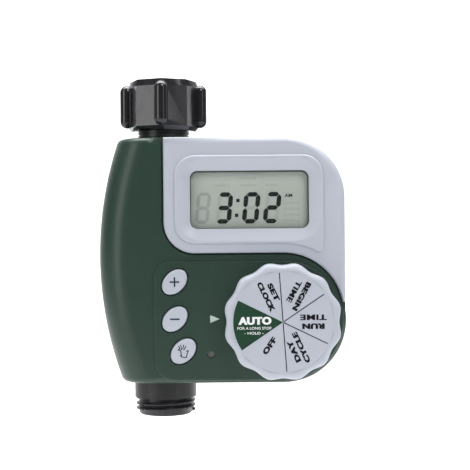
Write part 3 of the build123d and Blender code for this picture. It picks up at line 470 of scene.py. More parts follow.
@dataclass(frozen=True)
class PrintedInk:
    """A thin layer of printed ink."""

    name: str
    colour: RGB
    roughness: float = 0.5

    def make(self) -> bpy.types.Material:
        """Builds the material."""
        f = Finish(self.name)
        screen = f.cells(0.16 * MM)
        wear = f.noise(0.7 * MM, 3.0)
        return f.finish(
            Base_Color=f.mottled(self.colour, wear * 0.7 + screen * 0.3, 0.12),
            Roughness=self.roughness + (wear - 0.5) * 0.15,
            Normal=f.bump(screen, 0.004 * MM, 0.4),
            Specular_IOR_Level=0.2,
        )


@dataclass(frozen=True)
class SolderMask:
    """A circuit board: green lacquer over raised copper tracks, with the fibre's edge showing."""

    name: str

    def make(self) -> bpy.types.Material:
        """Builds the material."""
        f = Finish(self.name)
        grid = f.stretched((1.0, 0.0, 1.0))
        bricks = f.node(
            "ShaderNodeTexBrick",
            {"offset": 0.37, "squash": 1.6, "squash_frequency": 3},
            {"Vector": grid, "Scale": 130.0, "Mortar Size": 0.07, "Brick Width": 0.9, "Row Height": 0.23},
        )
        runs = f.signal(bricks.outputs["Fac"])
        pour = f.cells(9 * MM, "DISTANCE_TO_EDGE", grid).rise(0.10, 0.05)
        track = runs * pour
        weave = f.noise(0.3 * MM, 3.0)
        lacquer, copper = (0.010, 0.110, 0.045), (0.035, 0.230, 0.080)
        return f.finish(
            Base_Color=f.blend(track, lacquer, copper),
            Roughness=0.28 + (weave - 0.5) * 0.15,
            Normal=f.bump(track * 0.8 + weave * 0.2, 0.04 * MM, 0.6),
            Coat_Weight=0.4,
            Coat_Roughness=0.1,
        )


@dataclass(frozen=True)
class CellWrap:
    """A battery's shrink wrap: dark with a pale band near one end, over steel caps."""

    name: str
    node: str
    flipped: bool = False

    def make(self) -> bpy.types.Material:
        """Builds the material."""
        low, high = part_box(self.node)
        f = Finish(self.name)
        x, _, _ = f.split(f.place)
        along = (x - low.x) / (high.x - low.x)
        if self.flipped:
            along = 1 - along
        band = along.band(0.70, 0.94, 0.01)
        cap = along.rise(0.965, 0.008) + (1 - along.rise(0.012, 0.008))
        wrap = f.blend(band, (0.020, 0.045, 0.075), (0.62, 0.64, 0.66))
        grain = f.noise(0.5 * MM, 3.0)
        return f.finish(
            Base_Color=f.blend(cap, wrap, (0.60, 0.60, 0.58)),
            Metallic=cap,
            Roughness=0.3 + (grain - 0.5) * 0.2,
            Normal=f.bump(grain, 0.01 * MM, 0.4),
            Coat_Weight=0.3,
        )


class Shelf:
    """Every finish by the material slot that it dresses, each made once."""

    GREEN: RGB = (0.015, 0.042, 0.028)
    GREY: RGB = (0.50, 0.53, 0.60)

    def __init__(self) -> None:
        """Lays out the recipes."""
        self.recipes = {
            "green_shell": MouldedPlastic("Green_shell_plastic", self.GREEN, 0.40, coat=0.10),
            "green_tray": MouldedPlastic("Green_tray_plastic", self.GREEN, 0.40),
            "grey_cover": MouldedPlastic("Grey_cover_plastic", self.GREY, 0.42, mottling=0.02),
            "grey_dial": MouldedPlastic("Grey_dial_plastic", self.GREY, 0.40, mottling=0.02),
            "grey_button": MouldedPlastic("Grey_button_plastic", self.GREY, 0.38, mottling=0.02),
            "dial_print": MouldedPlastic(
                "Dial_label_film", (0.50, 0.525, 0.60), 0.5, grain=0.15, mottling=0.015
            ),
            "pointer_print": PrintedInk("Pale_pointer_ink", (0.50, 0.58, 0.54)),
            "black_nut": GlossNylon("Gloss_black_nylon", (0.012, 0.011, 0.014)),
            "black_pipe": MouldedPlastic("Filled_black_nylon", (0.010, 0.010, 0.012), 0.38, mottling=0.3),
            "white_nylon": MouldedPlastic("Natural_nylon", (0.72, 0.70, 0.64), 0.45),
            "black_rubber": SoftRubber("Black_rubber", (0.012, 0.012, 0.012)),
            "silicone": SoftRubber("Grey_silicone", (0.42, 0.43, 0.42), 0.5, glow=0.1),
            "steel": Metal("Zinc_plated_steel", MetalKind.ZINC),
            "spring_steel": Metal("Spring_steel", MetalKind.SPRING),
            "mesh_steel": Metal("Stainless_mesh", MetalKind.MESH),
            "brass": Metal("Contact_brass", MetalKind.BRASS),
            "lens": ClearWindow("Clear_window"),
            "lcd_glass": LiquidCrystal("Display_glass"),
            "board": SolderMask("Green_board"),
            "chip": MouldedPlastic("Black_epoxy", (0.014, 0.014, 0.015), 0.5, mottling=0.2),
            "socket": MouldedPlastic("Cream_nylon", (0.70, 0.66, 0.54), 0.45),
            "copper": Metal("Enamelled_copper", MetalKind.COPPER),
            "magnet": Metal("Nickel_plate", MetalKind.NICKEL),
            "lead_wire": SoftRubber("Red_lead_insulation", (0.33, 0.012, 0.010), 0.42),
            "cell_wrap": CellWrap("Cell_wrap_upper", "battery_cell_upper"),
            "cell_wrap_flipped": CellWrap("Cell_wrap_lower", "battery_cell_lower", True),
            "dial_ink": PrintedInk("Black_dial_ink", (0.005, 0.005, 0.010), 0.6),
            "dial_line": PrintedInk("Dark_line_ink", (0.030, 0.034, 0.050)),
            "dial_green": PrintedInk("Green_dial_ink", (0.014, 0.052, 0.028), 0.5),
            "white_ink": PrintedInk("White_dial_ink", (0.86, 0.88, 0.88)),
            # painted sheen: the raised RESET letters, paler and bluer than the shell they are moulded in
            "reset_sheen": PrintedInk("Muted_moulded_mark", (0.050, 0.105, 0.095)),
            "key_ink": PrintedInk("Slate_key_ink", (0.028, 0.036, 0.058)),
            "segment": PrintedInk("Dark_segment", (0.004, 0.005, 0.006), 0.6),
            "ghost_segment": PrintedInk("Ghost_segment", (0.345, 0.380, 0.360), 0.4),
            "faint_segment": PrintedInk("Faint_segment", (0.405, 0.445, 0.410), 0.4),
            # painted shadow: a dark ring round the display window, in place of the shade at the recess's edge
            "window_shadow_ring": PrintedInk("Painted_window_shadow", (0.075, 0.082, 0.080), 0.5),
        }
        self.made: dict[str, bpy.types.Material] = {}

    def get(self, slot: str) -> bpy.types.Material:
        """The material of a slot.

        Args:
            slot: The slot's or the extra finish's name.

        Returns:
            The material, made on first use.
        """
        if slot not in self.made:
            self.made[slot] = self.recipes[slot].make()
        return self.made[slot]


# ==================================================================== making pieces


def new_object(name: str, mesh: bpy.types.Mesh, material: bpy.types.Material) -> bpy.types.Object:
    """Links a mesh into the scene as a piece at the origin.

    Args:
        name: The piece's name.
        mesh: Its mesh, already in place.
        material: Its only material.

    Returns:
        The new object.
    """
    mesh.materials.clear()
    mesh.materials.append(material)
    piece = bpy.data.objects.new(name, mesh)
    bpy.context.scene.collection.objects.link(piece)
    return piece


def baked(piece: bpy.types.Object) -> bpy.types.Object:
    """Turns a piece's modifiers into plain mesh.

    Args:
        piece: The piece, with its modifiers live.

    Returns:
        The same piece with none.
    """
    bpy.context.view_layer.update()
    depsgraph = bpy.context.evaluated_depsgraph_get()
    mesh = bpy.data.meshes.new_from_object(piece.evaluated_get(depsgraph))
    old = piece.data
    piece.modifiers.clear()
    piece.data = mesh
    mesh.name = piece.name
    if old.users == 0:
        bpy.data.meshes.remove(old)
    return piece


def shade(piece: bpy.types.Object, crease: float = 32.0) -> bpy.types.Object:
    """Shades a piece smoothly up to its creases, with flat faces kept flat.

    Args:
        piece: The piece.
        crease: The smallest angle that stays an edge, in degrees.

    Returns:
        The same piece.
    """
    piece.data.shade_smooth()
    piece.data.set_sharp_from_angle(angle=radians(crease))
    even = piece.modifiers.new("Even_normals", "WEIGHTED_NORMAL")
    even.keep_sharp = True
    even.weight = 60
    return baked(piece)


def front_matrix(x: float, z: float, f: float, turn: float = 0.0) -> Matrix:
    """Stands a flat shape up to face the front.

    Args:
        x: Where its middle goes, in metres.
        z: The height of its middle, in metres.
        f: How far forward it lies, in metres.
        turn: How far it turns anticlockwise, in degrees.

    Returns:
        The matrix from the shape's own flat plane.
    """
    upright = Matrix.Rotation(radians(90), 4, "X")
    return Matrix.Translation((x, -f, z)) @ upright @ Matrix.Rotation(radians(turn), 4, "Z")


def plate(name: str, outlines: Iterable[Sequence[Point]], thick: float, place: Matrix,
          material: bpy.types.Material) -> bpy.types.Object:
    """A thin print or tile from closed outlines.

    Args:
        name: The piece's name.
        outlines: Closed outlines in the flat plane, in metres.
        thick: Its thickness, in metres.
        place: Where it goes.
        material: Its material.

    Returns:
        The new piece.
    """
    work = bmesh.new()
    for outline in outlines:
        face = work.faces.new([work.verts.new((x, y, 0.0)) for x, y in outline])
        raised = bmesh.ops.extrude_face_region(work, geom=[face])["geom"]
        verts = [v for v in raised if isinstance(v, bmesh.types.BMVert)]
        bmesh.ops.translate(work, verts=verts, vec=(0.0, 0.0, thick))
    bmesh.ops.recalc_face_normals(work, faces=work.faces)
    mesh = bpy.data.meshes.new(name)
    work.to_mesh(mesh)
    work.free()
    mesh.transform(place)
    return new_object(name, mesh, material)


def lettering(name: str, words: str, fit: Point, place: Matrix, material: bpy.types.Material,
              weight: float = 0.02, thick: float = 0.03 * MM, spread: float = 0.0) -> bpy.types.Object:
    """Raised or printed letters, fitted to a width and a height.

    Args:
        name: The piece's name.
        words: The letters.
        fit: Their full width and height, in metres.
        place: Where their middle goes.
        material: Their material.
        weight: How much bolder than plain they are, as a share of their size.
        thick: How thick they are, in metres.
        spread: How far the letters are doubled to each side for a heavy look, in metres.

    Returns:
        The new piece.
    """
    text = bpy.data.curves.new(name, "FONT")
    text.body = words
    text.size = 1.0
    text.offset = weight
    text.extrude = 0.5
    text.resolution_u = 4
    text.space_character = 1.1 if spread else 1.0
    maker = bpy.data.objects.new(name, text)
    bpy.context.scene.collection.objects.link(maker)
    bpy.context.view_layer.update()
    mesh = bpy.data.meshes.new_from_object(maker.evaluated_get(bpy.context.evaluated_depsgraph_get()))
    bpy.data.objects.remove(maker)
    bpy.data.curves.remove(text)
    corners = [v.co for v in mesh.vertices]
    low = Vector([min(c[i] for c in corners) for i in range(3)])
    high = Vector([max(c[i] for c in corners) for i in range(3)])
    size, middle = high - low, (low + high) / 2
    fitted = Matrix.Diagonal((fit[0] / size.x, fit[1] / size.y, thick / size.z, 1.0))
    lift = Matrix.Translation((0.0, 0.0, thick / 2))
    mesh.transform(lift @ fitted @ Matrix.Translation(-middle))
    work = bmesh.new()
    for i, side in enumerate((-spread, spread, 0.0) if spread else (0.0,)):
        shift = Matrix.Translation((side, 0.0, 0.35 * i * thick))
        mesh.transform(shift)
        work.from_mesh(mesh)
        mesh.transform(shift.inverted())
    work.transform(place)
    bmesh.ops.remove_doubles(work, verts=work.verts, dist=1e-7)
    bmesh.ops.recalc_face_normals(work, faces=work.faces)
    work.to_mesh(mesh)
    work.free()
    return new_object(name, mesh, material)


class Shape(Graph):
    """A Geometry Nodes tree with named sizes, which ends as one plain mesh."""

    def __init__(self, name: str, sizes: Mapping[str, float | int]) -> None:
        """Starts a tree.

        Args:
            name: The tree's name.
            sizes: Its inputs by name, with their default values.
        """
        tree = bpy.data.node_groups.new(name, "GeometryNodeTree")
        super().__init__(tree)
        face = tree.interface
        face.new_socket("Geometry", in_out="INPUT", socket_type="NodeSocketGeometry")
        face.new_socket("Geometry", in_out="OUTPUT", socket_type="NodeSocketGeometry")
        self.identifiers: dict[str, str] = {}
        for label, value in sizes.items():
            kind = "NodeSocketInt" if isinstance(value, int) else "NodeSocketFloat"
            socket = face.new_socket(label, in_out="INPUT", socket_type=kind)
            socket.default_value = value
            self.identifiers[label] = socket.identifier
        self.inputs = tree.nodes.new("NodeGroupInput")
        self.outputs = tree.nodes.new("NodeGroupOutput")

    def size(self, label: str) -> Signal:
        """One of the named inputs."""
        return self.signal(self.inputs.outputs[label])

    @property
    def base(self) -> bpy.types.NodeSocket:
        """The geometry that the tree starts from."""
        return self.inputs.outputs["Geometry"]

    def index(self) -> Signal:
        """The number of each point or copy."""
        return self.signal(self.node("GeometryNodeInputIndex").outputs[0])

    def copies(self, count: Link, each: bpy.types.NodeSocket, place: bpy.types.NodeSocket,
               turn: bpy.types.NodeSocket) -> bpy.types.NodeSocket:
        """Copies of a shape at worked-out places.

        Args:
            count: How many.
            each: The shape.
            place: Each copy's position.
            turn: Each copy's rotation.

        Returns:
            The copies' geometry.
        """
        points = self.node("GeometryNodePoints", None, {"Count": count, "Position": place})
        made = self.node(
            "GeometryNodeInstanceOnPoints",
            None,
            {"Points": points.outputs[0], "Instance": each, "Rotation": turn},
        )
        return made.outputs[0]

    def grow(self, name: str, start: bpy.types.Mesh | None, result: bpy.types.NodeSocket,
             material: bpy.types.Material, **sizes: float | int) -> bpy.types.Object:
        """Ends the tree and turns it into a piece.

        Args:
            name: The piece's name.
            start: The mesh that the tree starts from.
            result: The geometry it ends with.
            material: The piece's material.
            sizes: Values for the named inputs, with underscores for spaces.

        Returns:
            The piece, as plain mesh.
        """
        real = self.node("GeometryNodeRealizeInstances", None, {"Geometry": result})
        dressed = self.node(
            "GeometryNodeSetMaterial", None, {"Geometry": real.outputs[0], "Material": material}
        )
        self.tree.links.new(dressed.outputs[0], self.outputs.inputs[0])
        piece = new_object(name, start or bpy.data.meshes.new(name), material)
        modifier = piece.modifiers.new("Shape", "NODES")
        modifier.node_group = self.tree
        for label, value in sizes.items():
            modifier[self.identifiers[label.replace("_", " ")]] = value
        return baked(piece)


# ==================================================================== sub-assemblies


@dataclass
class SubAssembly:
    """Pieces that are put together before they go into the case."""

    shelf: Shelf
    nodes: tuple[str, ...] = ()
    count: int = field(default=0, init=False)

    def material(self, node: str) -> bpy.types.Material:
        """The finish of a CAD node's slot."""
        return self.shelf.get(self.slot(node))

    def slot(self, node: str) -> str:
        """The name of a CAD node's material slot."""
        return {s["node"]: s["material_slot"] for s in frame["record"]["subparts"]}[node]

    def body(self, node: str) -> str:
        """The body that a CAD node belongs to."""
        return next(b for b, members in frame["record"]["behaviour"]["bodies"].items() if node in members)

    def ship(self, piece: bpy.types.Object, body: str, slot: str, *replaced: str) -> bpy.types.Object:
        """Attaches a finished piece to its body and hides the CAD nodes it stands for.

        Args:
            piece: The piece.
            body: The body it rides on.
            slot: Not used.
            replaced: The CAD nodes it stands for.

        Returns:
            The same piece.
        """
        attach(piece, body)
        if replaced:
            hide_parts(*replaced)
        self.count += 1
        log.info("%s rides on %s", piece.name, body)
        return piece

    def smooth(self, node: str, crease: float = 32.0,
               material: bpy.types.Material | None = None) -> bpy.types.Object:
        """Replaces a CAD node with a welded, smoothly shaded copy.

        Args:
            node: The CAD node.
            crease: The smallest angle that stays an edge, in degrees.
            material: Another finish than its slot's.

        Returns:
            The new piece.
        """
        work = bmesh.new()
        work.from_mesh(frame["nodes"][node].data)
        bmesh.ops.remove_doubles(work, verts=work.verts, dist=2e-6)
        bmesh.ops.dissolve_limit(work, angle_limit=radians(0.15), verts=work.verts, edges=work.edges)
        mesh = bpy.data.meshes.new(node + "_finished")
        work.to_mesh(mesh)
        work.free()
        piece = new_object(node + "_finished", mesh, material or self.material(node))
        return self.ship(shade(piece, crease), self.body(node), self.slot(node), node)

    def dress(self, node: str) -> None:
        """Keeps a flat-sided CAD node and gives it its finish."""
        piece = frame["nodes"][node]
        piece.data.materials.clear()
        piece.data.materials.append(self.material(node))
        log.info("%s keeps its shape", node)

    def centre(self, node: str) -> Vector:
        """The middle of a CAD node's box."""
        low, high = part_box(node)
        return (low + high) / 2

    def front(self, node: str) -> float:
        """How far forward a CAD node reaches, in metres."""
        return -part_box(node)[0].y


@dataclass
class CaseShells(SubAssembly):
    """The two green shells, the grey cover, and what is moulded or printed on them."""

    reset_word: str = "RESET"
    word_width: float = 10.2 * MM
    word_height: float = 1.9 * MM
    word_drop: float = 5.2 * MM
    pad_front: float = 22.5 * MM

    def build(self) -> None:
        """Finishes the shells and their trim."""
        for node in ("rear_shell", "front_shell", "display_cover", "shell_seal", "case_screws"):
            self.smooth(node)
        self.smooth("dial_pointer")
        self.reset_mark()

    def reset_mark(self) -> None:
        """The word moulded under the reset hole, raised from the shell; its paler blue-green is a painted
        sheen for the light caught by the raised letters.
        """
        hole = self.centre("reset_pin")
        place = front_matrix(hole.x, hole.z - self.word_drop, self.pad_front)
        # the word's colour is a painted sheen, not a print
        word = lettering(
            "reset_word", self.reset_word, (self.word_width, self.word_height), place,
            self.shelf.get("reset_sheen"), weight=0.0, thick=0.12 * MM,
        )
        self.ship(word, "case", "green_shell")


@dataclass
class SevenSegment:
    """One slanted seven-segment digit."""

    width: float
    height: float
    stroke: float
    slant: float = 0.10
    gap: float = 0.12 * MM

    LIT = {"0": "abcdef", "2": "abged", "3": "abgcd", "8": "abcdefg"}

    def bar(self, start: Point, end: Point) -> list[Point]:
        """A six-sided stroke between two corners of the digit.

        Args:
            start: One end.
            end: The other end.

        Returns:
            The stroke's outline.
        """
        along = Vector((end[0] - start[0], end[1] - start[1])).normalized()
        side = Vector((-along.y, along.x)) * self.stroke / 2
        a = Vector(start) + along * self.gap
        b = Vector(end) - along * self.gap
        point = along * self.stroke / 2
        shape = [a, a + point - side, b - point - side, b, b - point + side, a + point + side]
        return [(p.x + self.slant * p.y, p.y) for p in shape]

    def outlines(self, digit: str, at: Point) -> list[list[Point]]:
        """The outlines of a digit's lit strokes.

        Args:
            digit: Which digit.
            at: Where its middle goes.

        Returns:
            One outline for each stroke.
        """
        w, h = (self.width - self.stroke) / 2, (self.height - self.stroke) / 2
        corner = {"tl": (-w, h), "tr": (w, h), "ml": (-w, 0.0), "mr": (w, 0.0), "bl": (-w, -h), "br": (w, -h)}
        strokes = {
            "a": ("tl", "tr"), "b": ("tr", "mr"), "c": ("mr", "br"), "d": ("bl", "br"),
            "e": ("ml", "bl"), "f": ("tl", "ml"), "g": ("ml", "mr"),
        }
        found = []
        for key in self.LIT[digit]:
            start, end = (corner[c] for c in strokes[key])
            found.append([(x + at[0], y + at[1]) for x, y in self.bar(start, end)])
        return found


@dataclass
class Display(SubAssembly):
    """The window, the display glass and its lit and unlit segments."""

    digit_width: float = 7.3 * MM
    digit_height: float = 13.9 * MM
    stroke: float = 2.0 * MM
    middle_z: float = -58.4 * MM
    digits: tuple[tuple[str, float], ...] = (("3", 27.6 * MM), ("0", 39.7 * MM), ("2", 49.0 * MM))
    colon_x: float = 33.5 * MM
    ghost_x: float = 18.3 * MM
    ghost_width: float = 6.2 * MM
    ghost_stroke: float = 1.55 * MM
    mark: str = "AM"
    opening: tuple[float, float, float, float] = (12.7, 65.1, -67.6, -42.0)
    corner: float = 3.3 * MM

    def build(self) -> None:
        """Finishes the glass and draws the time on it."""
        self.smooth("lcd_lens")
        for node in ("lcd_panel", "lcd_frame", "zebra_strip"):
            self.dress(node)
        self.time()
        self.ghosts()
        self.window_shadow_ring()

    def flat(self) -> Matrix:
        """The plane of the glass's front, with its own x and z as the flat plane."""
        return front_matrix(0.0, 0.0, self.front("lcd_panel"))

    def time(self) -> None:
        """The lit digits, the colon and the half-day mark."""
        style = SevenSegment(self.digit_width, self.digit_height, self.stroke)
        shapes = []
        for digit, x in self.digits:
            shapes += style.outlines(digit, (x, self.middle_z))
        half = 0.75 * MM
        for rise in (-3.3 * MM, 3.3 * MM):
            x, z = self.colon_x + 0.1 * rise, self.middle_z + rise
            corners = ((-half, -half), (half, -half), (half, half), (-half, half))
            shapes.append([(x + dx, z + dz) for dx, dz in corners])
        lit = plate("display_time", shapes, 0.05 * MM, self.flat(), self.shelf.get("segment"))
        self.ship(lit, "case", "lcd_glass")
        place = front_matrix(56.2 * MM, self.middle_z + 5.4 * MM, self.front("lcd_panel"))
        mark = lettering("display_half_day", self.mark, (3.4 * MM, 1.6 * MM), place,
                         self.shelf.get("segment"), weight=0.02, thick=0.05 * MM)
        self.ship(mark, "case", "lcd_glass")

    def ghosts(self) -> None:
        """The unlit digit at the left, and the unlit strokes behind the lit ones."""
        style = SevenSegment(self.ghost_width, self.digit_height, self.ghost_stroke)
        shapes = style.outlines("8", (self.ghost_x, self.middle_z))
        ghost = plate("display_ghost_digit", shapes, 0.02 * MM, self.flat(), self.shelf.get("ghost_segment"))
        self.ship(ghost, "case", "lcd_glass")
        shapes = []
        for _, x in self.digits:
            shapes += style.outlines("8", (x, self.middle_z))
        shapes += self.unlit_marks()
        faint = plate("display_unlit_marks", shapes, 0.015 * MM, self.flat(), self.shelf.get("faint_segment"))
        self.ship(faint, "case", "lcd_glass")

    def unlit_marks(self) -> list[list[Point]]:
        """Unlit marks above and beside the digits, each a row of short strokes.

        Returns:
            Their outlines.
        """
        rows = (
            (23.4, -48.4, 6), (34.8, -48.4, 6), (46.2, -48.4, 5), (34.8, -45.2, 6),
            (54.2, -56.4, 6), (54.2, -59.0, 6), (54.2, -61.6, 6), (54.2, -64.2, 6),
        )
        shapes = []
        for left, z, letters in rows:
            for i in range(letters):
                x = left + 1.2 * i
                tall = (0.55, 0.35, 0.5)[i % 3]
                corners = ((x, z - tall), (x + 0.85, z - tall), (x + 0.85, z + tall), (x, z + tall))
                shapes.append([(a * MM, b * MM) for a, b in corners])
        return shapes

    def window_shadow_ring(self) -> None:
        """Painted shadow: a dark rounded ring where the window meets the funnel, widest at the top, standing
        in for the shade at the edge of the recess.
        """
        low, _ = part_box("lcd_lens")
        left, right, bottom, top = (v * MM for v in self.opening)
        outer = rounded(left, right, bottom, top, self.corner)
        # the ring is widest at the top, where the painted shadow falls deepest
        inner = rounded(
            left + 0.35 * MM, right - 0.55 * MM, bottom + 0.2 * MM, top - 0.7 * MM, self.corner * 0.85
        )
        work = bmesh.new()
        rings = [[work.verts.new((x, y, 0.0)) for x, y in loop] for loop in (outer, inner)]
        count = len(outer)
        for i in range(count):
            k = (i + 1) % count
            work.faces.new((rings[0][i], rings[0][k], rings[1][k], rings[1][i]))
        raised = bmesh.ops.extrude_face_region(work, geom=list(work.faces))["geom"]
        verts = [v for v in raised if isinstance(v, bmesh.types.BMVert)]
        bmesh.ops.translate(work, verts=verts, vec=(0.0, 0.0, 0.04 * MM))
        bmesh.ops.recalc_face_normals(work, faces=work.faces)
        mesh = bpy.data.meshes.new("window_shadow_ring")
        work.to_mesh(mesh)
        work.free()
        mesh.transform(front_matrix(0.0, 0.0, -low.y))
        ring = new_object("window_shadow_ring", mesh, self.shelf.get("window_shadow_ring"))
        self.ship(ring, "case", "lens")


def rounded(left: float, right: float, bottom: float, top: float, radius: float) -> list[Point]:
    """A rectangle with round corners, anticlockwise.

    Args:
        left: Its left side.
        right: Its right side.
        bottom: Its lower side.
        top: Its upper side.
        radius: The corners' radius.

    Returns:
        Its outline.
    """
    points = []
    centres = ((right, bottom, 1, -1), (right, top, 1, 1), (left, top, -1, 1), (left, bottom, -1, -1))
    for n, (x, y, sx, sy) in enumerate(centres):
        for i in range(9):
            a = radians(-90 + 90 * n + 90 * i / 8)
            points.append((x - sx * radius + radius * cos(a), y - sy * radius + radius * sin(a)))
    return points


@dataclass
class Keypad(SubAssembly):
    """The three oval keys with their marks, and the reset pin."""

    line: float = 0.72 * MM
    arm: float = 2.1 * MM
    hand_line: float = 0.42 * MM

    def build(self) -> None:
        """Finishes the keys."""
        for node in ("plus_button", "minus_button", "manual_button"):
            self.smooth(node)
            self.smooth(node.replace("button", "dome"))
        self.smooth("reset_pin")
        self.smooth("reset_dome")
        self.sign("plus_button", True)
        self.sign("minus_button", False)
        self.hand("manual_button")

    def bar(self, a: Point, b: Point, width: float) -> list[Point]:
        """A thin stroke from one point to another."""
        along = Vector((b[0] - a[0], b[1] - a[1])).normalized()
        side = Vector((-along.y, along.x)) * width / 2
        corners = (Vector(a) - side, Vector(b) - side, Vector(b) + side, Vector(a) + side)
        return [(c.x, c.y) for c in corners]

    def sign(self, node: str, crossed: bool) -> None:
        """A plus or a minus sign on a key.

        Args:
            node: The key.
            crossed: True for a plus.
        """
        reach, half = self.arm, self.line / 2
        shapes = [[(-reach, -half), (reach, -half), (reach, half), (-reach, half)]]
        if crossed:
            shapes.append([(-half, half), (half, half), (half, reach), (-half, reach)])
            shapes.append([(-half, -reach), (half, -reach), (half, -half), (-half, -half)])
        self.print_on(node, shapes)

    def hand(self, node: str) -> None:
        """An open hand as a line drawing, leaning to the left, with its fingers spread."""
        strokes = (
            ((-1.15, 0.25), (-0.75, -2.45)), ((-0.75, -2.45), (1.35, -2.75)), ((1.35, -2.75), (1.75, -0.75)),
            ((1.75, -0.75), (2.35, 0.35)), ((2.35, 0.35), (1.25, 0.05)), ((-1.15, 0.25), (-2.35, 0.75)),
            ((-2.35, 0.75), (-1.45, 1.15)), ((-1.35, 1.05), (-2.15, 2.35)), ((-0.75, 1.15), (-1.15, 2.85)),
            ((-0.15, 1.15), (0.15, 2.95)), ((0.45, 0.85), (1.25, 2.35)), ((-1.05, 0.55), (-0.55, 1.25)),
            ((0.05, 0.65), (0.65, 1.05)), ((-0.75, -2.45), (-1.35, -1.65)),
        )
        shapes = []
        for a, b in strokes:
            shapes.append(self.bar((a[0] * MM, a[1] * MM), (b[0] * MM, b[1] * MM), self.hand_line))
        self.print_on(node, shapes)

    def print_on(self, node: str, shapes: list[list[Point]]) -> None:
        """Prints outlines on a key's flat top.

        Args:
            node: The key.
            shapes: The outlines, about the key's middle.
        """
        middle = self.centre(node)
        place = front_matrix(middle.x, middle.z, self.front(node) - 0.005 * MM)
        mark = plate(node + "_mark", shapes, 0.03 * MM, place, self.shelf.get("key_ink"))
        self.ship(mark, self.body(node), "grey_button")


@dataclass
class DialWords:
    """One sector's words: their turn and each line's text, middle and size, in millimetres."""

    turn: float
    lines: tuple[tuple[str, float, float, float, float], ...]
    white: bool = False


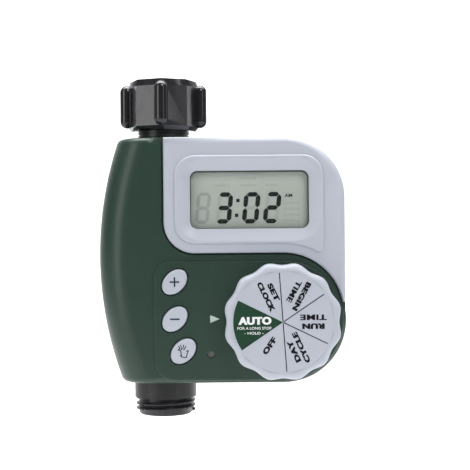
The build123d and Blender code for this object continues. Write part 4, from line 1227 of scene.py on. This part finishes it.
@dataclass
class Dial(SubAssembly):
    """The scalloped knob, its printed label, and the switch parts behind it."""

    lobes: int = 12
    wave: float = 0.65 * MM
    mean_radius: float = 25.0 * MM
    edge: float = 2.5 * MM
    label_radius: float = 21.9 * MM
    line_inner: float = 0.3 * MM
    line_outer: float = 21.3 * MM
    line_width: float = 0.46 * MM
    first_line: float = 33.7
    sector: tuple[float, float] = (153.7, 214.0)
    sector_radius: float = 21.4 * MM
    words: tuple[DialWords, ...] = (
        DialWords(0.0, (("AUTO", -12.1, 0.7, 14.0, 3.4), ("FOR A LONG STOP", -12.3, -2.5, 14.6, 1.2),
                        ("- HOLD -", -12.5, -4.6, 8.2, 1.1)), True),
        DialWords(-64.0, (("SET", -4.0, 12.9, 8.0, 2.4), ("CLOCK", -7.2, 10.9, 13.6, 2.4))),
        DialWords(-119.0, (("BEGIN", 8.1, 11.0, 13.2, 2.4), ("TIME", 4.8, 13.1, 9.8, 2.4))),
        DialWords(180.0, (("RUN", 13.0, -1.8, 9.4, 2.4), ("TIME", 13.0, 2.0, 11.2, 2.4))),
        DialWords(115.5, (("DAY", 4.5, -12.5, 9.8, 2.4), ("CYCLE", 7.7, -10.9, 14.0, 2.4))),
        DialWords(55.5, (("OFF", -5.9, -10.1, 8.0, 2.5),)),
    )

    def build(self) -> None:
        """Makes the knob and its print, and finishes the rest."""
        self.knob()
        self.smooth("dial_label")
        self.print_sector()
        self.print_lines()
        for group in self.words:
            self.print_words(group)
        for node in ("dial_shaft", "dial_clip", "dial_seal", "dial_rotor", "wiper_contact"):
            self.smooth(node)
        for node in ("contact_pads", "detent_spring"):
            self.smooth(node)

    def profile(self) -> list[Point]:
        """The knob's section, as radius and depth, from the back inside round to the front middle."""
        back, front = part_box("dial_knob")[1].y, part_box("dial_knob")[0].y
        inner, floor, hub = 21.1 * MM, back - 7.3 * MM, 6.0 * MM
        r, e = self.mean_radius, self.edge
        points = [(0.0, floor + 6.8 * MM), (hub, floor + 6.8 * MM), (hub, floor)]
        points += [(inner, floor), (inner, back), (r - 0.4 * MM, back), (r, back - 0.4 * MM)]
        for i in range(9):
            a = radians(90 * i / 8)
            points.append((r - e + e * cos(a), front + e - e * sin(a)))
        lip = self.label_radius + 0.05 * MM
        points += [(lip, front), (lip, front + 0.3 * MM), (0.0, front + 0.3 * MM)]
        return points

    def knob(self) -> None:
        """The knob: its section turned round the shaft, with a wave that fades out towards the label."""
        section = self.profile()
        start = bpy.data.meshes.new("dial_section")
        edges = [(i, i + 1) for i in range(len(section) - 1)]
        start.from_pydata([(r, y, 0.0) for r, y in section], edges, [])
        shape = Shape("Scalloped_turning", {
            "Lobes": self.lobes, "Wave": self.wave, "Steps": 240, "Rows": len(section),
            "Fade From": 21.2 * MM, "Fade To": self.mean_radius, "Centre X": 0.0, "Centre Z": 0.0,
        })
        rows, steps = shape.size("Rows"), shape.size("Steps")
        grid = shape.node("GeometryNodeMeshGrid", None, {"Vertices X": steps + 1, "Vertices Y": rows})
        number = shape.index()
        step = shape.signal(number.maths("FLOOR", number / rows).socket)
        row = number - step * rows
        sample = shape.node(
            "GeometryNodeSampleIndex", {"data_type": "FLOAT_VECTOR", "domain": "POINT"},
            {
                "Geometry": shape.base,
                "Index": row,
                "Value": shape.node("GeometryNodeInputPosition").outputs[0],
            },
        )
        r, y, _ = shape.split(sample.outputs[0])
        angle = step / steps * (2 * pi)
        fade = (r - shape.size("Fade From")) / (shape.size("Fade To") - shape.size("Fade From"))
        fade = fade.maths("MINIMUM", fade.maths("MAXIMUM", fade, 0.0), 1.0)
        lobe = angle * shape.size("Lobes")
        radius = r - fade * shape.size("Wave") * lobe.maths("COSINE", lobe)
        x = radius * angle.maths("COSINE", angle) + shape.size("Centre X")
        z = radius * angle.maths("SINE", angle) + shape.size("Centre Z")
        moved = shape.node(
            "GeometryNodeSetPosition", None, {"Geometry": grid.outputs[0], "Position": shape.join(x, y, z)}
        )
        merged = shape.node(
            "GeometryNodeMergeByDistance", None, {"Geometry": moved.outputs[0], "Distance": 0.002 * MM}
        )
        middle = self.centre("dial_label")
        piece = shape.grow(
            "dial_knob_turned", start, merged.outputs[0], self.material("dial_knob"),
            Centre_X=middle.x, Centre_Z=middle.z,
        )
        outward(piece)
        self.ship(shade(piece, 30.0), "dial", "grey_dial", "dial_knob")

    def print_plane(self, lift: float = 0.0, dx: float = 0.0, dz: float = 0.0, turn: float = 0.0) -> Matrix:
        """The label's face, moved and turned."""
        middle = self.centre("dial_label")
        return front_matrix(middle.x + dx, middle.z + dz, self.front("dial_label") + lift, turn)

    def print_sector(self) -> None:
        """The green sector that faces the pointer at rest."""
        start, end = self.sector
        steps = 24
        r = self.sector_radius
        angles = [radians(start + (end - start) * i / steps) for i in range(steps + 1)]
        outline = [(0.0, 0.0)] + [(r * cos(a), r * sin(a)) for a in angles]
        ink = self.shelf.get("dial_green")
        piece = plate("dial_green_sector", [outline], 0.02 * MM, self.print_plane(), ink)
        self.ship(piece, "dial", "dial_print")

    def print_lines(self) -> None:
        """The thin lines between the other sectors, as turned copies of one bar."""
        shape = Shape("Radial_lines", {
            "Count": 4, "First": 0.0, "Step": -60.0, "Inner": self.line_inner, "Outer": self.line_outer,
            "Width": self.line_width, "Thick": 0.02 * MM, "X": 0.0, "Y": 0.0, "Z": 0.0,
        })
        long = shape.size("Outer") - shape.size("Inner")
        bar = shape.node(
            "GeometryNodeMeshCube", None, {"Size": shape.join(long, shape.size("Thick"), shape.size("Width"))}
        )
        shift = shape.join(shape.size("Inner") + long / 2, 0.0, 0.0)
        out = shape.node("GeometryNodeTransform", None, {"Geometry": bar.outputs[0], "Translation": shift})
        angle = (shape.size("First") + shape.index() * shape.size("Step")) * (-pi / 180)
        place = shape.join(shape.size("X"), shape.size("Y"), shape.size("Z"))
        lines = shape.copies(shape.size("Count"), out.outputs[0], place, shape.join(0.0, angle, 0.0))
        middle, face = self.centre("dial_label"), self.front("dial_label")
        piece = shape.grow(
            "dial_sector_lines", None, lines, self.shelf.get("dial_line"),
            First=self.first_line + 60.2, X=middle.x, Y=-face - 0.01 * MM, Z=middle.z,
        )
        self.ship(piece, "dial", "dial_print")

    def boldness(self, text: str, heavy: bool) -> float:
        """How much bolder than plain a word is printed, less where a letter would close up."""
        if not heavy:
            return 0.015
        return 0.028 if "M" in text else 0.048

    def print_words(self, group: DialWords) -> None:
        """One sector's words.

        Args:
            group: The words and their places.
        """
        ink = self.shelf.get("white_ink" if group.white else "dial_ink")
        for i, (text, x, z, width, height) in enumerate(group.lines):
            heavy = height > 2
            place = self.print_plane(0.02 * MM, x * MM, z * MM, group.turn)
            name = f"dial_word_{text.strip('- ').lower().replace(' ', '_')}_{i}_{int(group.turn) % 360}"
            piece = lettering(
                name, text, (width * MM, height * MM), place, ink,
                weight=self.boldness(text, heavy), thick=0.02 * MM, spread=0.12 * MM if heavy else 0.0,
            )
            self.ship(piece, "dial", "dial_print")


def outward(piece: bpy.types.Object) -> None:
    """Turns every face of a closed mesh outwards."""
    work = bmesh.new()
    work.from_mesh(piece.data)
    bmesh.ops.recalc_face_normals(work, faces=work.faces)
    work.to_mesh(piece.data)
    work.free()


@dataclass
class Inlet(SubAssembly):
    """The swivel nut with its washer, dirt screen and retaining ring."""

    def build(self) -> None:
        """Finishes the pieces round the spigot."""
        for node in ("inlet_nut", "inlet_washer", "inlet_screen", "retaining_ring"):
            self.smooth(node)


@dataclass
class Valve(SubAssembly):
    """The pipe with its chamber, and the latching solenoid valve."""

    turns: int = 34
    wire: float = 0.49 * MM

    def build(self) -> None:
        """Finishes the valve and winds its coil."""
        for node in (
            "valve_body", "valve_bonnet", "bonnet_screws", "diaphragm", "diaphragm_poppet", "poppet_spring",
            "coil_bobbin", "coil_yoke", "plunger", "pilot_tip", "plunger_spring", "fixed_core",
            "latch_magnet", "coil_leads",
        ):
            self.smooth(node)
        self.winding()

    def winding(self) -> None:
        """The coil's outer layer as turns of wire, side by side over a plain core."""
        low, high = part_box("coil_winding")
        middle, half = (low + high) / 2, (high.z - low.z) / 2
        shape = Shape("Wire_turns", {
            "Turns": self.turns, "Left": 0.0, "Pitch": self.wire, "Ring": half - self.wire / 2,
            "Wire": self.wire / 2, "Y": 0.0, "Z": 0.0,
        })
        ring, section = (
            shape.node(
                "GeometryNodeCurvePrimitiveCircle", None, {"Resolution": steps, "Radius": shape.size(size)}
            )
            for steps, size in ((48, "Ring"), (8, "Wire"))
        )
        turn = shape.node(
            "GeometryNodeCurveToMesh", None, {"Curve": ring.outputs[0], "Profile Curve": section.outputs[0]}
        )
        along = shape.size("Left") + (shape.index() + 0.5) * shape.size("Pitch")
        place = shape.join(along, shape.size("Y"), shape.size("Z"))
        rings = shape.copies(shape.size("Turns"), turn.outputs[0], place, shape.join(0.0, pi / 2, 0.0))
        core = shape.node(
            "GeometryNodeMeshCylinder", None,
            {
                "Vertices": 48,
                "Radius": shape.size("Ring"),
                "Depth": shape.size("Turns") * shape.size("Pitch"),
            },
        )
        half_way = shape.size("Left") + shape.size("Turns") * shape.size("Pitch") / 2
        laid = shape.node(
            "GeometryNodeTransform", None,
            {
                "Geometry": core.outputs[0],
                "Translation": shape.join(half_way, shape.size("Y"), shape.size("Z")),
                "Rotation": (0.0, pi / 2, 0.0),
            },
        )
        both = shape.node("GeometryNodeJoinGeometry")
        shape.tree.links.new(rings, both.inputs[0])
        shape.tree.links.new(laid.outputs[0], both.inputs[0])
        piece = shape.grow(
            "coil_turns", None, both.outputs[0], self.shelf.get("copper"),
            Left=low.x, Pitch=(high.x - low.x) / self.turns, Wire=(high.x - low.x) / self.turns / 2,
            Y=middle.y, Z=middle.z,
        )
        self.ship(shade(piece, 50.0), "case", "copper", "coil_winding")


@dataclass
class Electronics(SubAssembly):
    """The board with what is soldered to it."""

    rows: int = 2
    pins: int = 14
    pin_pitch: float = 0.8 * MM
    row_gap: float = 13.2 * MM
    leg: RGB = (0.35 * MM, 0.25 * MM, 1.3 * MM)
    first_leg: Point = (26.8 * MM, -104.6 * MM)

    def build(self) -> None:
        """Finishes the board and adds the chip's legs."""
        self.dress("main_board")
        for node in ("board_screws", "board_chips", "board_sockets"):
            self.smooth(node)
        self.chip_legs()

    def chip_legs(self) -> None:
        """The timer chip's legs, as two rows of copies of one box-shaped leg."""
        board_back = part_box("main_board")[1].y
        shape = Shape("Leg_rows", {
            "Legs": self.rows * self.pins, "Per Row": self.pins, "Left": 0.0,
            "Pitch": self.pin_pitch, "Low": 0.0, "Gap": self.row_gap, "Y": 0.0,
        })
        leg = shape.node("GeometryNodeMeshCube", None, {"Size": self.leg})
        number = shape.index()
        row = shape.signal(number.maths("FLOOR", number / shape.size("Per Row")).socket)
        x = shape.size("Left") + (number - row * shape.size("Per Row")) * shape.size("Pitch")
        z = shape.size("Low") + row * shape.size("Gap")
        place = shape.join(x, shape.size("Y"), z)
        legs = shape.copies(shape.size("Legs"), leg.outputs[0], place, shape.join(0.0, 0.0, 0.0))
        piece = shape.grow(
            "chip_legs", None, legs, self.shelf.get("steel"),
            Left=self.first_leg[0], Low=self.first_leg[1], Y=board_back + self.leg[1] / 2,
        )
        self.ship(piece, "case", "steel")


@dataclass
class BatteryBay(SubAssembly):
    """The pull-out tray with its cells and contacts, and the bay's blades and leads."""

    def build(self) -> None:
        """Finishes the tray and what it holds."""
        for node in ("battery_tray", "battery_cell_upper", "cell_springs", "tray_seal"):
            self.smooth(node)
        self.smooth("battery_cell_lower", material=self.shelf.get("cell_wrap_flipped"))
        for node in ("cell_plates", "tray_contacts", "bay_blades"):
            self.dress(node)
        self.smooth("battery_leads")


@dataclass
class Studio:
    """A pale sweep, soft lamps and the camera."""

    eye: RGB = (32.4 * MM, -500.0 * MM, -70.4 * MM)
    lens: float = 83.3
    roll: float = 0.5
    floor_z: float = -151.7 * MM - 60 * MM
    sweep_y: float = 520 * MM
    bend: float = 260 * MM
    room: float = 0.13
    seen_room: float = 0.9
    paper_glow: float = 0.18

    def build(self) -> None:
        """Puts up the set."""
        self.sweep()
        self.camera()
        self.light()
        bpy.context.scene.view_settings.view_transform = "Standard"

    def sweep(self) -> None:
        """A floor that curves up into a wall."""
        work = bmesh.new()
        points = [(-1.6, self.floor_z), (self.sweep_y, self.floor_z)]
        for i in range(1, 13):
            a = radians(90 * i / 12)
            points.append((self.sweep_y + self.bend * sin(a), self.floor_z + self.bend * (1 - cos(a))))
        points.append((self.sweep_y + self.bend, 1.8))
        rows = [[work.verts.new((x, y, z)) for y, z in points] for x in (-2.4, 2.4)]
        for i in range(len(points) - 1):
            work.faces.new((rows[0][i], rows[1][i], rows[1][i + 1], rows[0][i + 1]))
        mesh = bpy.data.meshes.new("sweep")
        work.to_mesh(mesh)
        work.free()
        mesh.shade_smooth()
        finish = Finish("Pale_paper")
        fibre = finish.noise(4 * MM, 3.0)
        paper = finish.finish(
            Base_Color=finish.mottled((0.93, 0.93, 0.93), fibre, 0.01),
            Roughness=0.85 + fibre * 0.05,
            Emission_Color=(1.0, 1.0, 1.0),
            Emission_Strength=self.paper_glow,
        )
        new_object("sweep", mesh, paper)

    def camera(self) -> None:
        """The camera, level with the middle of the case."""
        data = bpy.data.cameras.new("camera")
        data.lens = self.lens
        data.clip_start = 0.01
        camera = bpy.data.objects.new("camera", data)
        camera.location = self.eye
        camera.rotation_euler = (radians(90), radians(self.roll), 0.0)
        bpy.context.scene.collection.objects.link(camera)
        bpy.context.scene.camera = camera

    def lamp(self, name: str, place: RGB, size: Point, power: float, target: RGB = TIMER) -> None:
        """A rectangular soft lamp.

        Args:
            name: Its name.
            place: Where it hangs, in metres.
            size: Its width and height, in metres.
            power: Its power, in watts.
            target: The point that it faces.
        """
        data = bpy.data.lights.new(name, "AREA")
        data.shape = "RECTANGLE"
        data.size, data.size_y = size
        data.energy = power
        lamp = bpy.data.objects.new(name, data)
        lamp.location = place
        lamp.rotation_euler = (Vector(target) - Vector(place)).to_track_quat("-Z", "Y").to_euler()
        bpy.context.scene.collection.objects.link(lamp)

    def light(self) -> None:
        """A key from the upper right, a fill from the left, a strip from above and a bright room."""
        self.lamp("key", (0.38, -0.66, 0.52), (0.30, 0.30), 2.75)
        self.lamp("side_strip", (-0.68, -0.62, 0.02), (0.34, 0.95), 2.6)
        self.lamp("top", (0.02, -0.14, 0.66), (0.40, 0.26), 1.5)
        self.lamp("right_strip", (0.62, -0.58, 0.02), (0.10, 0.60), 0.35)
        self.lamp("backdrop", (0.03, 0.12, 0.45), (0.60, 0.60), 9.0, (0.03, 0.78, -0.05))
        world = bpy.data.worlds.new("room")
        bpy.context.scene.world = world
        world.use_nodes = True
        room = Graph(world.node_tree)
        seen = room.signal(room.node("ShaderNodeLightPath").outputs["Is Camera Ray"])
        strength = seen * (self.seen_room - self.room) + self.room
        air = room.node("ShaderNodeBackground", None, {"Color": (0.97, 0.985, 1.0), "Strength": strength})
        world.node_tree.links.new(air.outputs[0], world.node_tree.nodes["World Output"].inputs[0])


def main() -> None:
    """Builds the studio and every sub-assembly in order."""
    logging.basicConfig(level=logging.INFO, format="%(name)s: %(message)s")
    Studio().build()
    shelf = Shelf()
    for kind in (CaseShells, Display, Keypad, Dial, Inlet, Valve, Electronics, BatteryBay):
        part = kind(shelf)
        part.build()
        log.info("%s: %d new pieces", kind.__name__, part.count)


if __name__ == "__main__":
    main()
